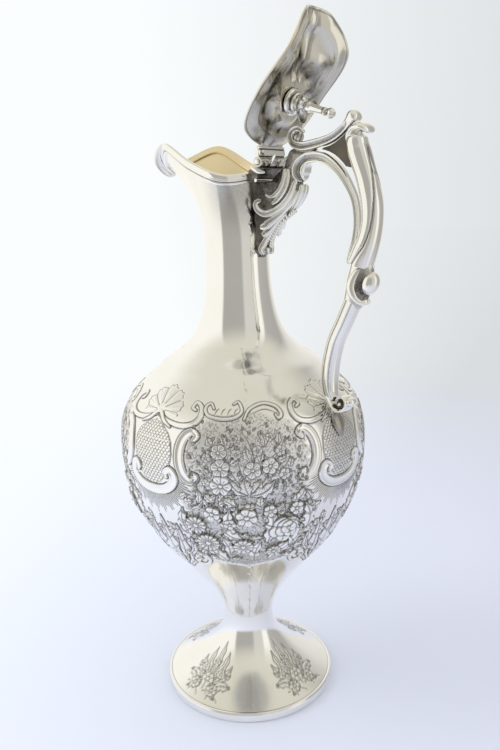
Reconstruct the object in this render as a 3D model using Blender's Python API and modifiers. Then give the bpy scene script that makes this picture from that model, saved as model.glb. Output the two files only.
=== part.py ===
import math

import bmesh
import bpy
import numpy as np
from mathutils import Matrix, Vector

# A lidded silver pitcher. Metres, +Z up, origin on the vessel's axis at table level.
# +X points to the handle and -X to the spout.

# Joints and sheet
SEAM_GAP = 0.0003
WALL = 0.0010
SEGMENTS = 32

# Foot
FOOT_RADIUS = 0.0495
FOOT_RIM_HEIGHT = 0.0050
FOOT_RIM_DEPTH = 0.0018
FOOT_FLARE_SLOPE = math.radians(29)
FOOT_FLARE_REACH = 0.0210
FOOT_STEM_REACH = 0.0160

# Bowl and neck, as smooth curves between stem, belly, shoulder and neck
STEM_RADIUS = 0.0144
STEM_Z = 0.0400
STEM_REACH = 0.0292
BELLY_RADIUS = 0.0682
BELLY_Z = 0.1510
BELLY_REACH_DOWN = 0.0580
BELLY_REACH_UP = 0.0275
SHOULDER_RADIUS = 0.0438
SHOULDER_Z = 0.1941
SHOULDER_LEAN = math.radians(45)
SHOULDER_REACH_DOWN = 0.0174
SHOULDER_REACH_UP = 0.0135
NECK_RADIUS = 0.0170
NECK_DROP = 0.0374
NECK_REACH_SHARE = 0.8949
NECK_SEAM_Z = 0.2060
BOWL_FLOOR = 0.0012

# Chased work raised from the bowl's wall, once in each quarter: scrolls that frame a shield, a leaf below
# it and a garland beside it. A place is a turn in degrees from the shield's middle and a height from the
# belly's widest line; scrolls and leaf add a share of their breadth, blossoms their radius.
CHASE_QUARTERS = 4
CHASE_ROOT = 0.0005
CHASE_SCROLL_RISE = 0.0011
CHASE_SCROLL_BREADTH = 0.0046
CHASE_LEAF_RISE = 0.0013
CHASE_LEAF_BREADTH = 0.0086
CHASE_BLOSSOM_RISE = 0.0018
SIDE_SCROLL = (
    (22.8, 0.0194, 0.5),
    (17.6, 0.0186, 1.0),
    (15.2, 0.0080, 1.1),
    (16.8, 0.0008, 1.0),
    (22.4, -0.0016, 0.5),
)
FOOT_SCROLL = (
    (-10.0, 0.0014, 0.5),
    (-12.2, -0.0020, 1.0),
    (-7.6, -0.0092, 1.1),
    (0.0, -0.0110, 1.1),
    (7.6, -0.0092, 1.1),
    (12.2, -0.0020, 1.0),
    (10.0, 0.0014, 0.5),
)
SHIELD_LEAF = ((0.0, -0.0500, 0.4), (0.0, -0.0340, 1.2), (0.0, -0.0160, 0.2))
BLOSSOMS = (
    (46.2, -0.0224, 0.0074),
    (60.8, -0.0302, 0.0082),
    (20.4, -0.0268, 0.0056),
    (24.4, -0.0388, 0.0062),
    (41.4, -0.0404, 0.0058),
)

# Waved mouth: six stations of one half from back to front, each as a place along the spout, a half
# width and a rise above the lowest part of the rim
MOUTH_HEIGHT = 0.2924
MOUTH_BACK_OVERHANG = 0.0010
MOUTH_BACK_RISE = 0.0016
MOUTH_DIP_X = 0.0098
MOUTH_DIP_HALF = 0.0204
MOUTH_WIDE_X = -0.0087
MOUTH_WIDE_HALF = 0.0242
MOUTH_WIDE_RISE = 0.0070
MOUTH_CREST_X = -0.0306
MOUTH_CREST_HALF = 0.0216
MOUTH_CREST_RISE = 0.0174
LIP_CORNER_X = -0.0450
LIP_CORNER_HALF = 0.0109
LIP_CORNER_RISE = 0.0116
LIP_FRONT_X = -0.0475
LIP_FRONT_RISE = 0.0062
MOUTH_STEPS = 4
THROAT_POWER = 2.0
RIM_HEIGHT = 0.0050
RIM_THICKNESS = 0.0028

# Hinge
HINGE_STANDOFF = 0.0073
HINGE_RISE = 0.0054
KNUCKLE_RADIUS = 0.0026
KNUCKLE_LENGTH = 0.0064
HINGE_WIDTH = 0.0196
HINGE_PIN_RADIUS = 0.0009
HINGE_CLEARANCE = 0.0002
HINGE_LEAF_THICKNESS = 0.0014
HINGE_LEAF_LENGTH = 0.0100
HINGE_LEAF_WIDTH = 0.0130

# Lid, modelled closed and then turned open about the hinge
LID_OPEN = math.radians(108.5)
LID_WALL = 0.0010
LID_GAP = 0.0012
LID_SEAT_X = -0.0060
LID_SEAT_RISE = 0.0098
LID_EDGE_POWER = 1.7
LID_LOBE = 0.0030

# Finial
STUD_RADIUS = 0.0013
COLLAR_RADIUS = 0.0064
COLLAR_HEIGHT = 0.0050
CALYX_RADIUS = 0.0072
CALYX_HEIGHT = 0.0036
CALYX_LOBES = 4
FINIAL_RADIUS = 0.0027
FINIAL_TIP_RADIUS = 0.0019
FINIAL_BUD_RADIUS = 0.0022
FINIAL_LENGTH = 0.0170
NUT_RADIUS = 0.0036
NUT_HEIGHT = 0.0022

# Handle: stations from the hinge axis as (outward, upward, thickness radius)
ARM = (
    (0.0172, 0.0156, 0.0014),
    (0.0147, 0.0124, 0.0017),
    (0.0170, 0.0087, 0.0020),
    (0.0228, 0.0070, 0.0022),
    (0.0292, 0.0067, 0.0022),
    (0.0367, 0.0076, 0.0023),
    (0.0433, 0.0112, 0.0025),
    (0.0477, 0.0153, 0.0029),
    (0.0512, 0.0181, 0.0029),
)
SCROLL = (
    (0.0216, -0.0102, 0.0015),
    (0.0191, -0.0066, 0.0029),
    (0.0203, -0.0022, 0.0035),
    (0.0249, 0.0010, 0.0031),
    (0.0312, 0.0014, 0.0028),
    (0.0383, -0.0009, 0.0027),
    (0.0450, -0.0064, 0.0024),
    (0.0518, -0.0146, 0.0021),
    (0.0540, -0.0234, 0.0020),
    (0.0538, -0.0340, 0.0020),
    (0.0517, -0.0408, 0.0020),
    (0.0490, -0.0452, 0.0017),
)
GRIP = (
    (0.0546, 0.0132, 0.0026),
    (0.0526, 0.0062, 0.0039),
    (0.0541, -0.0028, 0.0042),
    (0.0579, -0.0128, 0.0042),
    (0.0602, -0.0233, 0.0041),
    (0.0599, -0.0343, 0.0039),
    (0.0575, -0.0424, 0.0039),
    (0.0549, -0.0482, 0.0042),
)
BOSS = (
    GRIP[-1],
    (0.0541, -0.0528, 0.0056),
    (0.0523, -0.0580, 0.0063),
    (0.0493, -0.0638, 0.0053),
    (0.0463, -0.0682, 0.0041),
)
ARM_WIDTH = 1.25
SCROLL_WIDTH = 1.25
GRIP_WIDTH = 1.20
BOSS_WIDTH = 1.0
BEAD_OUT = 0.0569
BEAD_UP = -0.0580
BEAD_SIZE = (0.0052, 0.0063, 0.0070)
WEB = (
    (0.0327, 0.0042),
    (0.0362, 0.0002),
    (0.0427, -0.0035),
    (0.0527, -0.0058),
    (0.0492, 0.0132),
)
WEB_THICKNESS = 0.0026

# Lower arm: outward from the hinge, then from the seat on the shoulder, at shares of the drop from boss to seat
SEAT_Z = 0.1765
LOWER_ARM_UPPER = ((0.0435, 0.8585, 0.0037),)
LOWER_ARM_LOWER = (
    (0.0034, 0.7170, 0.0036),
    (0.0006, 0.5660, 0.0036),
    (-0.0010, 0.4245, 0.0036),
    (-0.0014, 0.2830, 0.0037),
    (-0.0010, 0.1604, 0.0037),
    (0.0006, 0.0755, 0.0036),
)
LOWER_ARM_WIDTH = 1.15
TERMINAL_RADIUS = 0.0032
TERMINAL_WIDTH = 0.0105
LEAF_LENGTH = 0.0110
LEAF_THICKNESS = 0.0020
LEAF_WIDTH = 2.4

# Bracket: free edge from its tail on the neck to the scroll, from the hinge axis
BRACKET_EDGE = (
    (-0.0066, -0.0482),
    (-0.0040, -0.0455),
    (-0.0018, -0.0411),
    (0.0004, -0.0362),
    (0.0069, -0.0291),
    (0.0134, -0.0233),
    (0.0182, -0.0180),
    (0.0196, -0.0120),
)
BRACKET_HEAD = (
    (0.0180, -0.0050),
    (0.0175, 0.0045),
    (0.0140, 0.0060),
    (0.0051, -0.0030),
)
BRACKET_THICKNESS = 0.0084
BRACKET_ROUND = 0.0016
BEADING_RADIUS = 0.0012
BEADING_PITCH = 0.0026
BEADING_WAIST = 0.45

NECK_Z = MOUTH_HEIGHT - NECK_DROP
HINGE_X = NECK_RADIUS + HINGE_STANDOFF
HINGE_Z = MOUTH_HEIGHT + HINGE_RISE

for old in list(bpy.data.objects):
    bpy.data.objects.remove(old, do_unlink=True)

pitcher = bpy.data.collections.new("silver_pitcher")
cutters = bpy.data.collections.new("cutters")
bpy.context.scene.collection.children.link(pitcher)
bpy.context.scene.collection.children.link(cutters)


def metal(name, colour, roughness):
    made = bpy.data.materials.new(name)
    made.use_nodes = True
    shader = made.node_tree.nodes["Principled BSDF"]
    shader.inputs["Base Color"].default_value = (*colour, 1.0)
    shader.inputs["Metallic"].default_value = 1.0
    shader.inputs["Roughness"].default_value = roughness
    return made


def silver(name, roughness=0.12):
    return metal(name + "_silver", (0.83, 0.82, 0.79), roughness)


# A part goes to the pitcher's collection with its own silver; a tool goes to the cutters, hidden
def part(name, mesh, roughness=0.12):
    made = bpy.data.objects.new(name, mesh)
    mesh.materials.clear()
    mesh.materials.append(silver(name, roughness))
    mesh.shade_smooth()
    mesh.set_sharp_from_angle(angle=math.radians(40))
    pitcher.objects.link(made)
    return made


def tool(name, mesh):
    made = bpy.data.objects.new(name, mesh)
    made.hide_render = True
    made.display_type = "WIRE"
    cutters.objects.link(made)
    return made


def boolean(target, other, operation):
    modifier = target.modifiers.new(operation.lower() + "_" + other.name, "BOOLEAN")
    modifier.operation = operation
    modifier.solver = "EXACT"
    modifier.object = other


def bezier(start, start_reach, end_reach, end, count):
    t = np.linspace(0.0, 1.0, count)[:, None]
    p0, p1, p2, p3 = (np.array(p) for p in (start, start_reach, end_reach, end))
    return (1 - t) ** 3 * p0 + 3 * (1 - t) ** 2 * t * p1 + 3 * (1 - t) * t**2 * p2 + t**3 * p3


# Smooth curve through stations: each span is a cubic whose slopes come from its neighbours
def through(stations, steps, closed=False):
    points = np.array(stations, dtype=float)
    last = len(points) if closed else len(points) - 1
    out = []
    for i in range(last):
        if closed:
            before, here, there, after = (points[(i + k) % len(points)] for k in (-1, 0, 1, 2))
        else:
            here, there = points[i], points[i + 1]
            before = points[i - 1] if i > 0 else 2 * here - there
            after = points[i + 2] if i + 2 < len(points) else 2 * there - here
        for t in np.arange(steps) / steps:
            slope_here = (there - before) / 2
            slope_there = (after - here) / 2
            out.append(
                here * (2 * t**3 - 3 * t**2 + 1)
                + slope_here * (t**3 - 2 * t**2 + t)
                + there * (3 * t**2 - 2 * t**3)
                + slope_there * (t**3 - t**2)
            )
    if not closed:
        out.append(points[-1])
    return np.array(out)


# Outer profile of bowl, shoulder and neck, from the stem up, as (radius, height)
def body_profile(count):
    lean = np.array((-math.sin(SHOULDER_LEAN), math.cos(SHOULDER_LEAN)))
    shoulder = np.array((SHOULDER_RADIUS, SHOULDER_Z))
    lower = bezier(
        (STEM_RADIUS, STEM_Z),
        (STEM_RADIUS, STEM_Z + STEM_REACH),
        (BELLY_RADIUS, BELLY_Z - BELLY_REACH_DOWN),
        (BELLY_RADIUS, BELLY_Z),
        count,
    )
    middle = bezier(
        (BELLY_RADIUS, BELLY_Z),
        (BELLY_RADIUS, BELLY_Z + BELLY_REACH_UP),
        shoulder - SHOULDER_REACH_DOWN * lean,
        shoulder,
        count,
    )
    upper = bezier(
        shoulder,
        shoulder + SHOULDER_REACH_UP * lean,
        (NECK_RADIUS, NECK_Z - NECK_REACH_SHARE * (NECK_Z - SHOULDER_Z)),
        (NECK_RADIUS, NECK_Z),
        count,
    )
    return np.vstack((lower, middle[1:], upper[1:]))


FINE_BODY = body_profile(60)


def body_radius(z):
    return float(np.interp(z, FINE_BODY[:, 1], FINE_BODY[:, 0]))


# Moves a profile sideways by its own normals; positive is to the left of its direction
def offset(points, distance):
    along = np.gradient(points, axis=0)
    along /= np.linalg.norm(along, axis=1)[:, None]
    return points + distance * np.column_stack((-along[:, 1], along[:, 0]))


def turned_mesh(name, profile, closed, steps=SEGMENTS):
    mesh = bpy.data.meshes.new(name)
    corners = [(r, 0.0, z) for r, z in profile]
    edges = [(i, i + 1) for i in range(len(corners) - 1)]
    if closed:
        edges.append((len(corners) - 1, 0))
    mesh.from_pydata(corners, edges, [])
    holder = bpy.data.objects.new(name, mesh)
    cutters.objects.link(holder)
    screw = holder.modifiers.new("turn", "SCREW")
    screw.axis = "Z"
    screw.steps = steps
    screw.render_steps = steps
    screw.use_merge_vertices = True
    screw.merge_threshold = 0.00001
    return meshed(holder)


# Evaluated copy of a curve or a modified object as a plain welded mesh; the original is removed
def meshed(holder):
    depsgraph = bpy.context.evaluated_depsgraph_get()
    mesh = bpy.data.meshes.new_from_object(holder.evaluated_get(depsgraph))
    mesh.transform(holder.matrix_world)
    bpy.data.objects.remove(holder, do_unlink=True)
    form = bmesh.new()
    form.from_mesh(mesh)
    bmesh.ops.remove_doubles(form, verts=form.verts, dist=0.000002)
    bmesh.ops.recalc_face_normals(form, faces=form.faces)
    form.to_mesh(mesh)
    form.free()
    return mesh


# Tube along stations in the handle's plane, stretched across it by a width factor
def swept_mesh(name, stations, width, grow=0.0, steps=3):
    points = through(stations, steps)
    curve = bpy.data.curves.new(name, "CURVE")
    curve.dimensions = "3D"
    curve.bevel_depth = 0.001
    curve.bevel_resolution = 3
    curve.use_fill_caps = True
    spline = curve.splines.new("POLY")
    spline.points.add(len(points) - 1)
    for point, (x, z, radius) in zip(spline.points, points):
        point.co = (x, 0.0, z, 1.0)
        point.radius = (radius + grow) / curve.bevel_depth
    holder = bpy.data.objects.new(name, curve)
    cutters.objects.link(holder)
    mesh = meshed(holder)
    middle = 1.0 + (width - 1.0) * points[:, 2].mean() / (points[:, 2].mean() + grow)
    mesh.transform(Matrix.Diagonal((1.0, middle, 1.0, 1.0)))
    return mesh


# Flat outline in the XZ plane, thickened across Y with a rounded edge
def plate_mesh(name, outline, thickness, rounding=0.0):
    curve = bpy.data.curves.new(name, "CURVE")
    curve.dimensions = "2D"
    curve.fill_mode = "BOTH"
    curve.extrude = thickness / 2 - rounding
    curve.bevel_depth = rounding
    curve.bevel_resolution = 1
    curve.offset = -rounding
    spline = curve.splines.new("POLY")
    spline.points.add(len(outline) - 1)
    spline.use_cyclic_u = True
    for point, (x, z) in zip(spline.points, outline):
        point.co = (x, z, 0.0, 1.0)
    holder = bpy.data.objects.new(name, curve)
    holder.rotation_euler = (math.pi / 2, 0.0, 0.0)
    cutters.objects.link(holder)
    bpy.context.view_layer.update()
    return meshed(holder)


# Keeps the side of a mesh that the normal points away from, and closes the cut
def trim(mesh, place, normal):
    form = bmesh.new()
    form.from_mesh(mesh)
    every = form.verts[:] + form.edges[:] + form.faces[:]
    cut = bmesh.ops.bisect_plane(
        form, geom=every, plane_co=Vector(place), plane_no=Vector(normal), clear_outer=True
    )
    rim = [e for e in cut["geom_cut"] if isinstance(e, bmesh.types.BMEdge)]
    bmesh.ops.edgeloop_fill(form, edges=rim)
    bmesh.ops.recalc_face_normals(form, faces=form.faces)
    form.to_mesh(mesh)
    form.free()


# Mesh from rows of points that close on themselves. A closed form is turned to face out; an open
# sheet faces out when its rows run anticlockwise and upward.
def rows_mesh(name, rows, join_ends=False, sheet=False, caps=False):
    count, around = len(rows), len(rows[0])
    corners = np.array(rows).reshape(-1, 3)
    faces = []
    for i in range(count if join_ends else count - 1):
        for j in range(around):
            a, b = i * around, (i + 1) % count * around
            k = (j + 1) % around
            faces.append((a + j, a + k, b + k, b + j))
    if caps:
        faces += [tuple(range(around)), tuple(range(count * around - around, count * around))]
    mesh = bpy.data.meshes.new(name)
    mesh.from_pydata(corners.tolist(), [], faces)
    form = bmesh.new()
    form.from_mesh(mesh)
    bmesh.ops.remove_doubles(form, verts=form.verts, dist=0.000002)
    if not sheet:
        bmesh.ops.recalc_face_normals(form, faces=form.faces)
    form.to_mesh(mesh)
    form.free()
    return mesh


def cylinder_mesh(name, radius, length, place, axis, sides=20):
    form = bmesh.new()
    turn = Vector((0.0, 0.0, 1.0)).rotation_difference(Vector(axis)).to_matrix().to_4x4()
    bmesh.ops.create_cone(
        form,
        cap_ends=True,
        segments=sides,
        radius1=radius,
        radius2=radius,
        depth=length,
        matrix=Matrix.Translation(place) @ turn,
    )
    mesh = bpy.data.meshes.new(name)
    form.to_mesh(mesh)
    form.free()
    return mesh


def box_mesh(name, low, high):
    form = bmesh.new()
    bmesh.ops.create_cube(form, size=1.0)
    middle = [(a + b) / 2 for a, b in zip(low, high)]
    size = [b - a for a, b in zip(low, high)]
    mesh = bpy.data.meshes.new(name)
    form.to_mesh(mesh)
    form.free()
    mesh.transform(Matrix.Translation(middle) @ Matrix.Diagonal((*size, 1.0)))
    return mesh


def ball_mesh(name, place, size, grow=0.0):
    form = bmesh.new()
    bmesh.ops.create_uvsphere(form, u_segments=14, v_segments=8, radius=1.0)
    mesh = bpy.data.meshes.new(name)
    form.to_mesh(mesh)
    form.free()
    scale = [s + grow for s in size]
    mesh.transform(Matrix.Translation(place) @ Matrix.Diagonal((*scale, 1.0)))
    return mesh


# Mouth edge as a closed ring of points round the rim's top
def mouth_ring():
    half = [
        (NECK_RADIUS + MOUTH_BACK_OVERHANG, 0.0, MOUTH_BACK_RISE),
        (MOUTH_DIP_X, MOUTH_DIP_HALF, 0.0),
        (MOUTH_WIDE_X, MOUTH_WIDE_HALF, MOUTH_WIDE_RISE),
        (MOUTH_CREST_X, MOUTH_CREST_HALF, MOUTH_CREST_RISE),
        (LIP_CORNER_X, LIP_CORNER_HALF, LIP_CORNER_RISE),
        (LIP_FRONT_X, 0.0, LIP_FRONT_RISE),
    ]
    mirrored = [(x, -y, rise) for x, y, rise in half[-2:0:-1]]
    ring = through(half + mirrored, MOUTH_STEPS, closed=True)
    return ring + np.array((0.0, 0.0, MOUTH_HEIGHT))


MOUTH = mouth_ring()
MOUTH_ANGLE = np.arctan2(MOUTH[:, 1], MOUTH[:, 0])
AROUND = np.column_stack((np.cos(MOUTH_ANGLE), np.sin(MOUTH_ANGLE), 0.0 * MOUTH_ANGLE))


def unit(vectors):
    return vectors / np.linalg.norm(vectors, axis=1)[:, None]


# Directions at the mouth edge: on up the flared wall, and square to it, facing out
def mouth_frame():
    along = unit(np.roll(MOUTH, -1, axis=0) - np.roll(MOUTH, 1, axis=0))
    reach = np.linalg.norm(MOUTH[:, :2], axis=1)
    flare = THROAT_POWER * (reach - NECK_RADIUS)
    rise = AROUND * flare[:, None]
    rise[:, 2] = MOUTH[:, 2] - NECK_Z
    rise = unit(rise - along * np.sum(rise * along, axis=1)[:, None])
    return rise, np.cross(along, rise)


RIM_RISE, RIM_OUT = mouth_frame()


# Rows of the neck: turned below, opening into the mouth above. The neck ends under the rim.
def neck_rows(grow=0.0):
    profile = offset(FINE_BODY, -grow)
    rows = []
    for z in np.linspace(NECK_SEAM_Z, NECK_Z, 5)[:-1]:
        row = AROUND * np.interp(z, profile[:, 1], profile[:, 0])
        row[:, 2] = z
        rows.append(row)
    top = MOUTH - RIM_RISE * (RIM_HEIGHT + SEAM_GAP)
    reach = np.linalg.norm(top[:, :2], axis=1)
    around = top * np.array((1.0, 1.0, 0.0)) / reach[:, None]
    for share in np.linspace(0.0, 1.0, 7):
        radius = NECK_RADIUS + (reach - NECK_RADIUS) * share**THROAT_POWER + grow
        row = around * radius[:, None]
        row[:, 2] = NECK_Z + (top[:, 2] - NECK_Z) * share
        rows.append(row)
    return rows


def make_foot():
    lean = np.array((-math.cos(FOOT_FLARE_SLOPE), math.sin(FOOT_FLARE_SLOPE)))
    edge = np.array((FOOT_RADIUS - FOOT_RIM_DEPTH - SEAM_GAP, FOOT_RIM_HEIGHT))
    outer = bezier(
        (STEM_RADIUS, STEM_Z - SEAM_GAP / 2),
        (STEM_RADIUS, STEM_Z - FOOT_STEM_REACH),
        edge + FOOT_FLARE_REACH * lean,
        edge,
        8,
    )
    inner = offset(outer, -WALL)
    inner[0] = (STEM_RADIUS - WALL, outer[0][1])
    mesh = turned_mesh("foot", np.vstack((outer, inner[::-1])), closed=True)
    return part("foot", mesh)


def make_foot_rim():
    inside = FOOT_RADIUS - FOOT_RIM_DEPTH
    bead = FOOT_RIM_DEPTH / 2
    top = FOOT_RIM_HEIGHT
    section = [
        (inside, top),
        (inside + bead * 0.6, top + bead * 0.55),
        (FOOT_RADIUS - bead * 0.25, top),
        (FOOT_RADIUS - bead * 0.25, top - bead),
        (FOOT_RADIUS, top - bead * 1.4),
        (FOOT_RADIUS, 0.0),
        (inside - WALL, 0.0),
        (inside - WALL, top - WALL * 1.9),
        (inside, top - WALL * 1.9),
    ]
    return part("foot_rim", turned_mesh("foot_rim", section, closed=True))


# Place on the bowl's flat-sided wall, lifted square to its smooth outline
def on_wall(profile, turn, z, lift):
    side = math.pi / SEGMENTS
    radius = np.interp(z, profile[:, 1], profile[:, 0]) * math.cos(side) / math.cos(turn % (2 * side) - side)
    slope = np.array((body_radius(z + WALL) - body_radius(z - WALL), 2 * WALL))
    slope /= np.linalg.norm(slope)
    reach = radius + lift * slope[1]
    return (reach * math.cos(turn), reach * math.sin(turn), z - lift * slope[0]), slope[1]


# Raised strap along stations on the wall: a flat top with sloping sides that root in the wall
def chased_strap(name, profile, stations, quarter, breadth, rise, top):
    places = [(math.radians(turn + quarter), BELLY_Z + up, share * breadth / 2) for turn, up, share in stations]
    rows = []
    for i, (turn, z, half) in enumerate(places):
        before, after = places[max(i - 1, 0)], places[min(i + 1, len(places) - 1)]
        climb = on_wall(profile, turn, z, 0.0)[1]
        along = np.array(((after[0] - before[0]) * body_radius(z), (after[1] - before[1]) / climb))
        along /= np.linalg.norm(along)
        row = []
        for share, lift in ((-1.0, -CHASE_ROOT), (-top, rise), (top, rise), (1.0, -CHASE_ROOT)):
            aside = half * share
            spot = (turn - along[1] * aside / body_radius(z), z + along[0] * aside * climb)
            row.append(on_wall(profile, *spot, lift)[0])
        rows.append(row)
    return rows_mesh(name, rows, caps=True)


# Six-sided dome on the wall
def chased_blossom(name, profile, blossom, quarter):
    turn, z, radius = math.radians(blossom[0] + quarter), BELLY_Z + blossom[1], blossom[2]
    climb = on_wall(profile, turn, z, 0.0)[1]
    rows = []
    for share, lift in ((1.0, -CHASE_ROOT), (0.55, CHASE_BLOSSOM_RISE)):
        row = []
        for k in range(6):
            angle = k * math.pi / 3
            spot = (turn + radius * share * math.cos(angle) / body_radius(z), z + radius * share * math.sin(angle) * climb)
            row.append(on_wall(profile, *spot, lift)[0])
        rows.append(row)
    return rows_mesh(name, rows, caps=True)


def chasing_tool(profile):
    form = bmesh.new()
    for k in range(CHASE_QUARTERS):
        quarter = 360.0 / CHASE_QUARTERS * k
        mirrored = tuple((-turn, up, share) for turn, up, share in SIDE_SCROLL)
        scroll = (quarter, CHASE_SCROLL_BREADTH, CHASE_SCROLL_RISE, 0.6)
        leaf = (quarter, CHASE_LEAF_BREADTH, CHASE_LEAF_RISE, 0.2)
        made = [chased_strap("scroll", profile, path, *scroll) for path in (SIDE_SCROLL, mirrored, FOOT_SCROLL)]
        made.append(chased_strap("leaf", profile, SHIELD_LEAF, *leaf))
        made += [chased_blossom("blossom", profile, blossom, quarter) for blossom in BLOSSOMS]
        for mesh in made:
            form.from_mesh(mesh)
            bpy.data.meshes.remove(mesh)
    mesh = bpy.data.meshes.new("chasing_tool")
    form.to_mesh(mesh)
    form.free()
    return tool("chasing_tool", mesh)


def make_bowl():
    rising = body_profile(8)
    rising = rising[rising[:, 1] < NECK_SEAM_Z - WALL]
    seam = (body_radius(NECK_SEAM_Z), NECK_SEAM_Z)
    outer = np.vstack((rising, seam))
    along = FINE_BODY[np.searchsorted(FINE_BODY[:, 1], NECK_SEAM_Z)] - np.array(seam)
    along /= np.linalg.norm(along)
    outer[-1] -= SEAM_GAP / 2 * along
    outer[0][1] = STEM_Z + SEAM_GAP / 2
    inner = offset(outer, WALL)
    floor = outer[0][1] + BOWL_FLOOR
    inner = inner[inner[:, 1] > floor + WALL]
    well = [(0.0, floor), (inner[0][0] * 0.93, floor)]
    underside = [(0.0, outer[0][1])]
    profile = np.vstack((well, inner, outer[::-1], underside))
    blank = bpy.data.objects.new("bowl_blank", turned_mesh("bowl", profile, closed=False))
    cutters.objects.link(blank)
    boolean(blank, chasing_tool(outer), "UNION")
    return part("bowl", meshed(blank))


def make_neck():
    rows = neck_rows()
    rows[0][:, 2] += SEAM_GAP / 2
    made = part("neck", rows_mesh("neck", rows, sheet=True))
    shell = made.modifiers.new("sheet", "SOLIDIFY")
    shell.thickness = WALL
    shell.offset = -1.0
    shell.use_even_offset = True
    return made


# Rim: a moulded bar that runs on from the wall all round the mouth
def rim_rows():
    half = RIM_THICKNESS / 2
    section = [
        (-half, 0.0),
        (half, 0.0),
        (half * 1.25, 0.22),
        (half * 0.95, 0.45),
        (half * 1.15, 0.70),
        (half * 0.70, 0.94),
        (0.0, 1.0),
        (-half * 0.80, 0.90),
    ]
    foot = MOUTH - RIM_RISE * RIM_HEIGHT - RIM_OUT * WALL / 2
    return [foot + across * RIM_OUT + tall * RIM_HEIGHT * RIM_RISE for across, tall in section]


def make_rim_moulding():
    return part("rim_moulding", rows_mesh("rim_moulding", rim_rows(), join_ends=True))


# Lid: rings from the finial's hole out to the mouth edge, which clear the rim's highest line
def lid_rows():
    seat = np.array((LID_SEAT_X, 0.0))
    edge = MOUTH[:, :2] - seat
    reach = np.linalg.norm(edge, axis=1)
    ray = edge / reach[:, None]
    hole = STUD_RADIUS + SEAM_GAP
    rim = np.array(rim_rows())[:, :, 2].max(axis=0) + LID_GAP + LID_WALL
    top = MOUTH_HEIGHT + LID_SEAT_RISE
    flank = np.abs(ray[:, 1]) * np.clip(-ray[:, 0], 0.0, 1.0) * 2.0
    flat = COLLAR_RADIUS + 2 * SEAM_GAP
    rows = [np.column_stack((seat + ray * hole, np.full(len(ray), top)))]
    for share in (0.0, 0.2, 0.4, 0.6, 0.8, 1.0):
        radius = flat + (reach - flat) * share
        height = top + (rim - top) * share**LID_EDGE_POWER
        height = height + LID_LOBE * flank * math.sin(math.pi * share)
        plan = seat + ray * radius[:, None]
        rows.append(np.column_stack((plan, height)))
    return rows


def make_lid():
    made = part("lid", rows_mesh("lid", lid_rows()[::-1], sheet=True))
    shell = made.modifiers.new("sheet", "SOLIDIFY")
    shell.thickness = LID_WALL
    shell.offset = -1.0
    shell.use_even_offset = True
    return made


def lid_height(x):
    spine = np.array([row[0] for row in lid_rows()])
    return float(np.interp(x, spine[:, 0], spine[:, 2]))


def make_hinge_base():
    block_top = HINGE_Z - KNUCKLE_RADIUS - SEAM_GAP
    low = MOUTH_HEIGHT + MOUTH_BACK_RISE - RIM_HEIGHT
    inner = NECK_RADIUS + MOUTH_BACK_OVERHANG - WALL / 2 + RIM_THICKNESS * 0.625 + SEAM_GAP
    outer = HINGE_X + KNUCKLE_RADIUS
    half = HINGE_WIDTH / 2
    block = box_mesh("hinge_base", (inner, -half, low), (outer, half, block_top))
    made = part("hinge_base", block)
    for side in (-1, 1):
        middle = side * (half - KNUCKLE_LENGTH / 2)
        knuckle = cylinder_mesh(
            "knuckle", KNUCKLE_RADIUS, KNUCKLE_LENGTH, (HINGE_X, middle, HINGE_Z), (0, 1, 0)
        )
        boolean(made, tool("knuckle_tool", knuckle), "UNION")
        post = box_mesh(
            "post",
            (HINGE_X - KNUCKLE_RADIUS * 0.8, middle - KNUCKLE_LENGTH / 2, low + WALL),
            (HINGE_X + KNUCKLE_RADIUS * 0.8, middle + KNUCKLE_LENGTH / 2, HINGE_Z),
        )
        boolean(made, tool("post_tool", post), "UNION")
    hole = cylinder_mesh(
        "hole",
        HINGE_PIN_RADIUS + HINGE_CLEARANCE,
        HINGE_WIDTH * 2,
        (HINGE_X, 0.0, HINGE_Z),
        (0, 1, 0),
        16,
    )
    boolean(made, tool("base_hole_tool", hole), "DIFFERENCE")


def make_hinge_pin():
    head = HINGE_PIN_RADIUS * 1.7
    half = HINGE_WIDTH / 2
    end = half + SEAM_GAP + HINGE_PIN_RADIUS
    profile = [
        (0.0, end),
        (head * 0.7, end),
        (head, half + SEAM_GAP + HINGE_PIN_RADIUS * 0.4),
        (head, half + SEAM_GAP),
        (HINGE_PIN_RADIUS, half + SEAM_GAP),
        (HINGE_PIN_RADIUS, -half - SEAM_GAP),
        (head, -half - SEAM_GAP),
        (head, -half - SEAM_GAP - HINGE_PIN_RADIUS * 0.4),
        (head * 0.7, -end),
        (0.0, -end),
    ]
    mesh = turned_mesh("hinge_pin", profile, closed=False, steps=16)
    mesh.transform(Matrix.Rotation(math.pi / 2, 4, "X"))
    mesh.transform(Matrix.Translation((HINGE_X, 0.0, HINGE_Z)))
    return part("hinge_pin", mesh)


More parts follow.
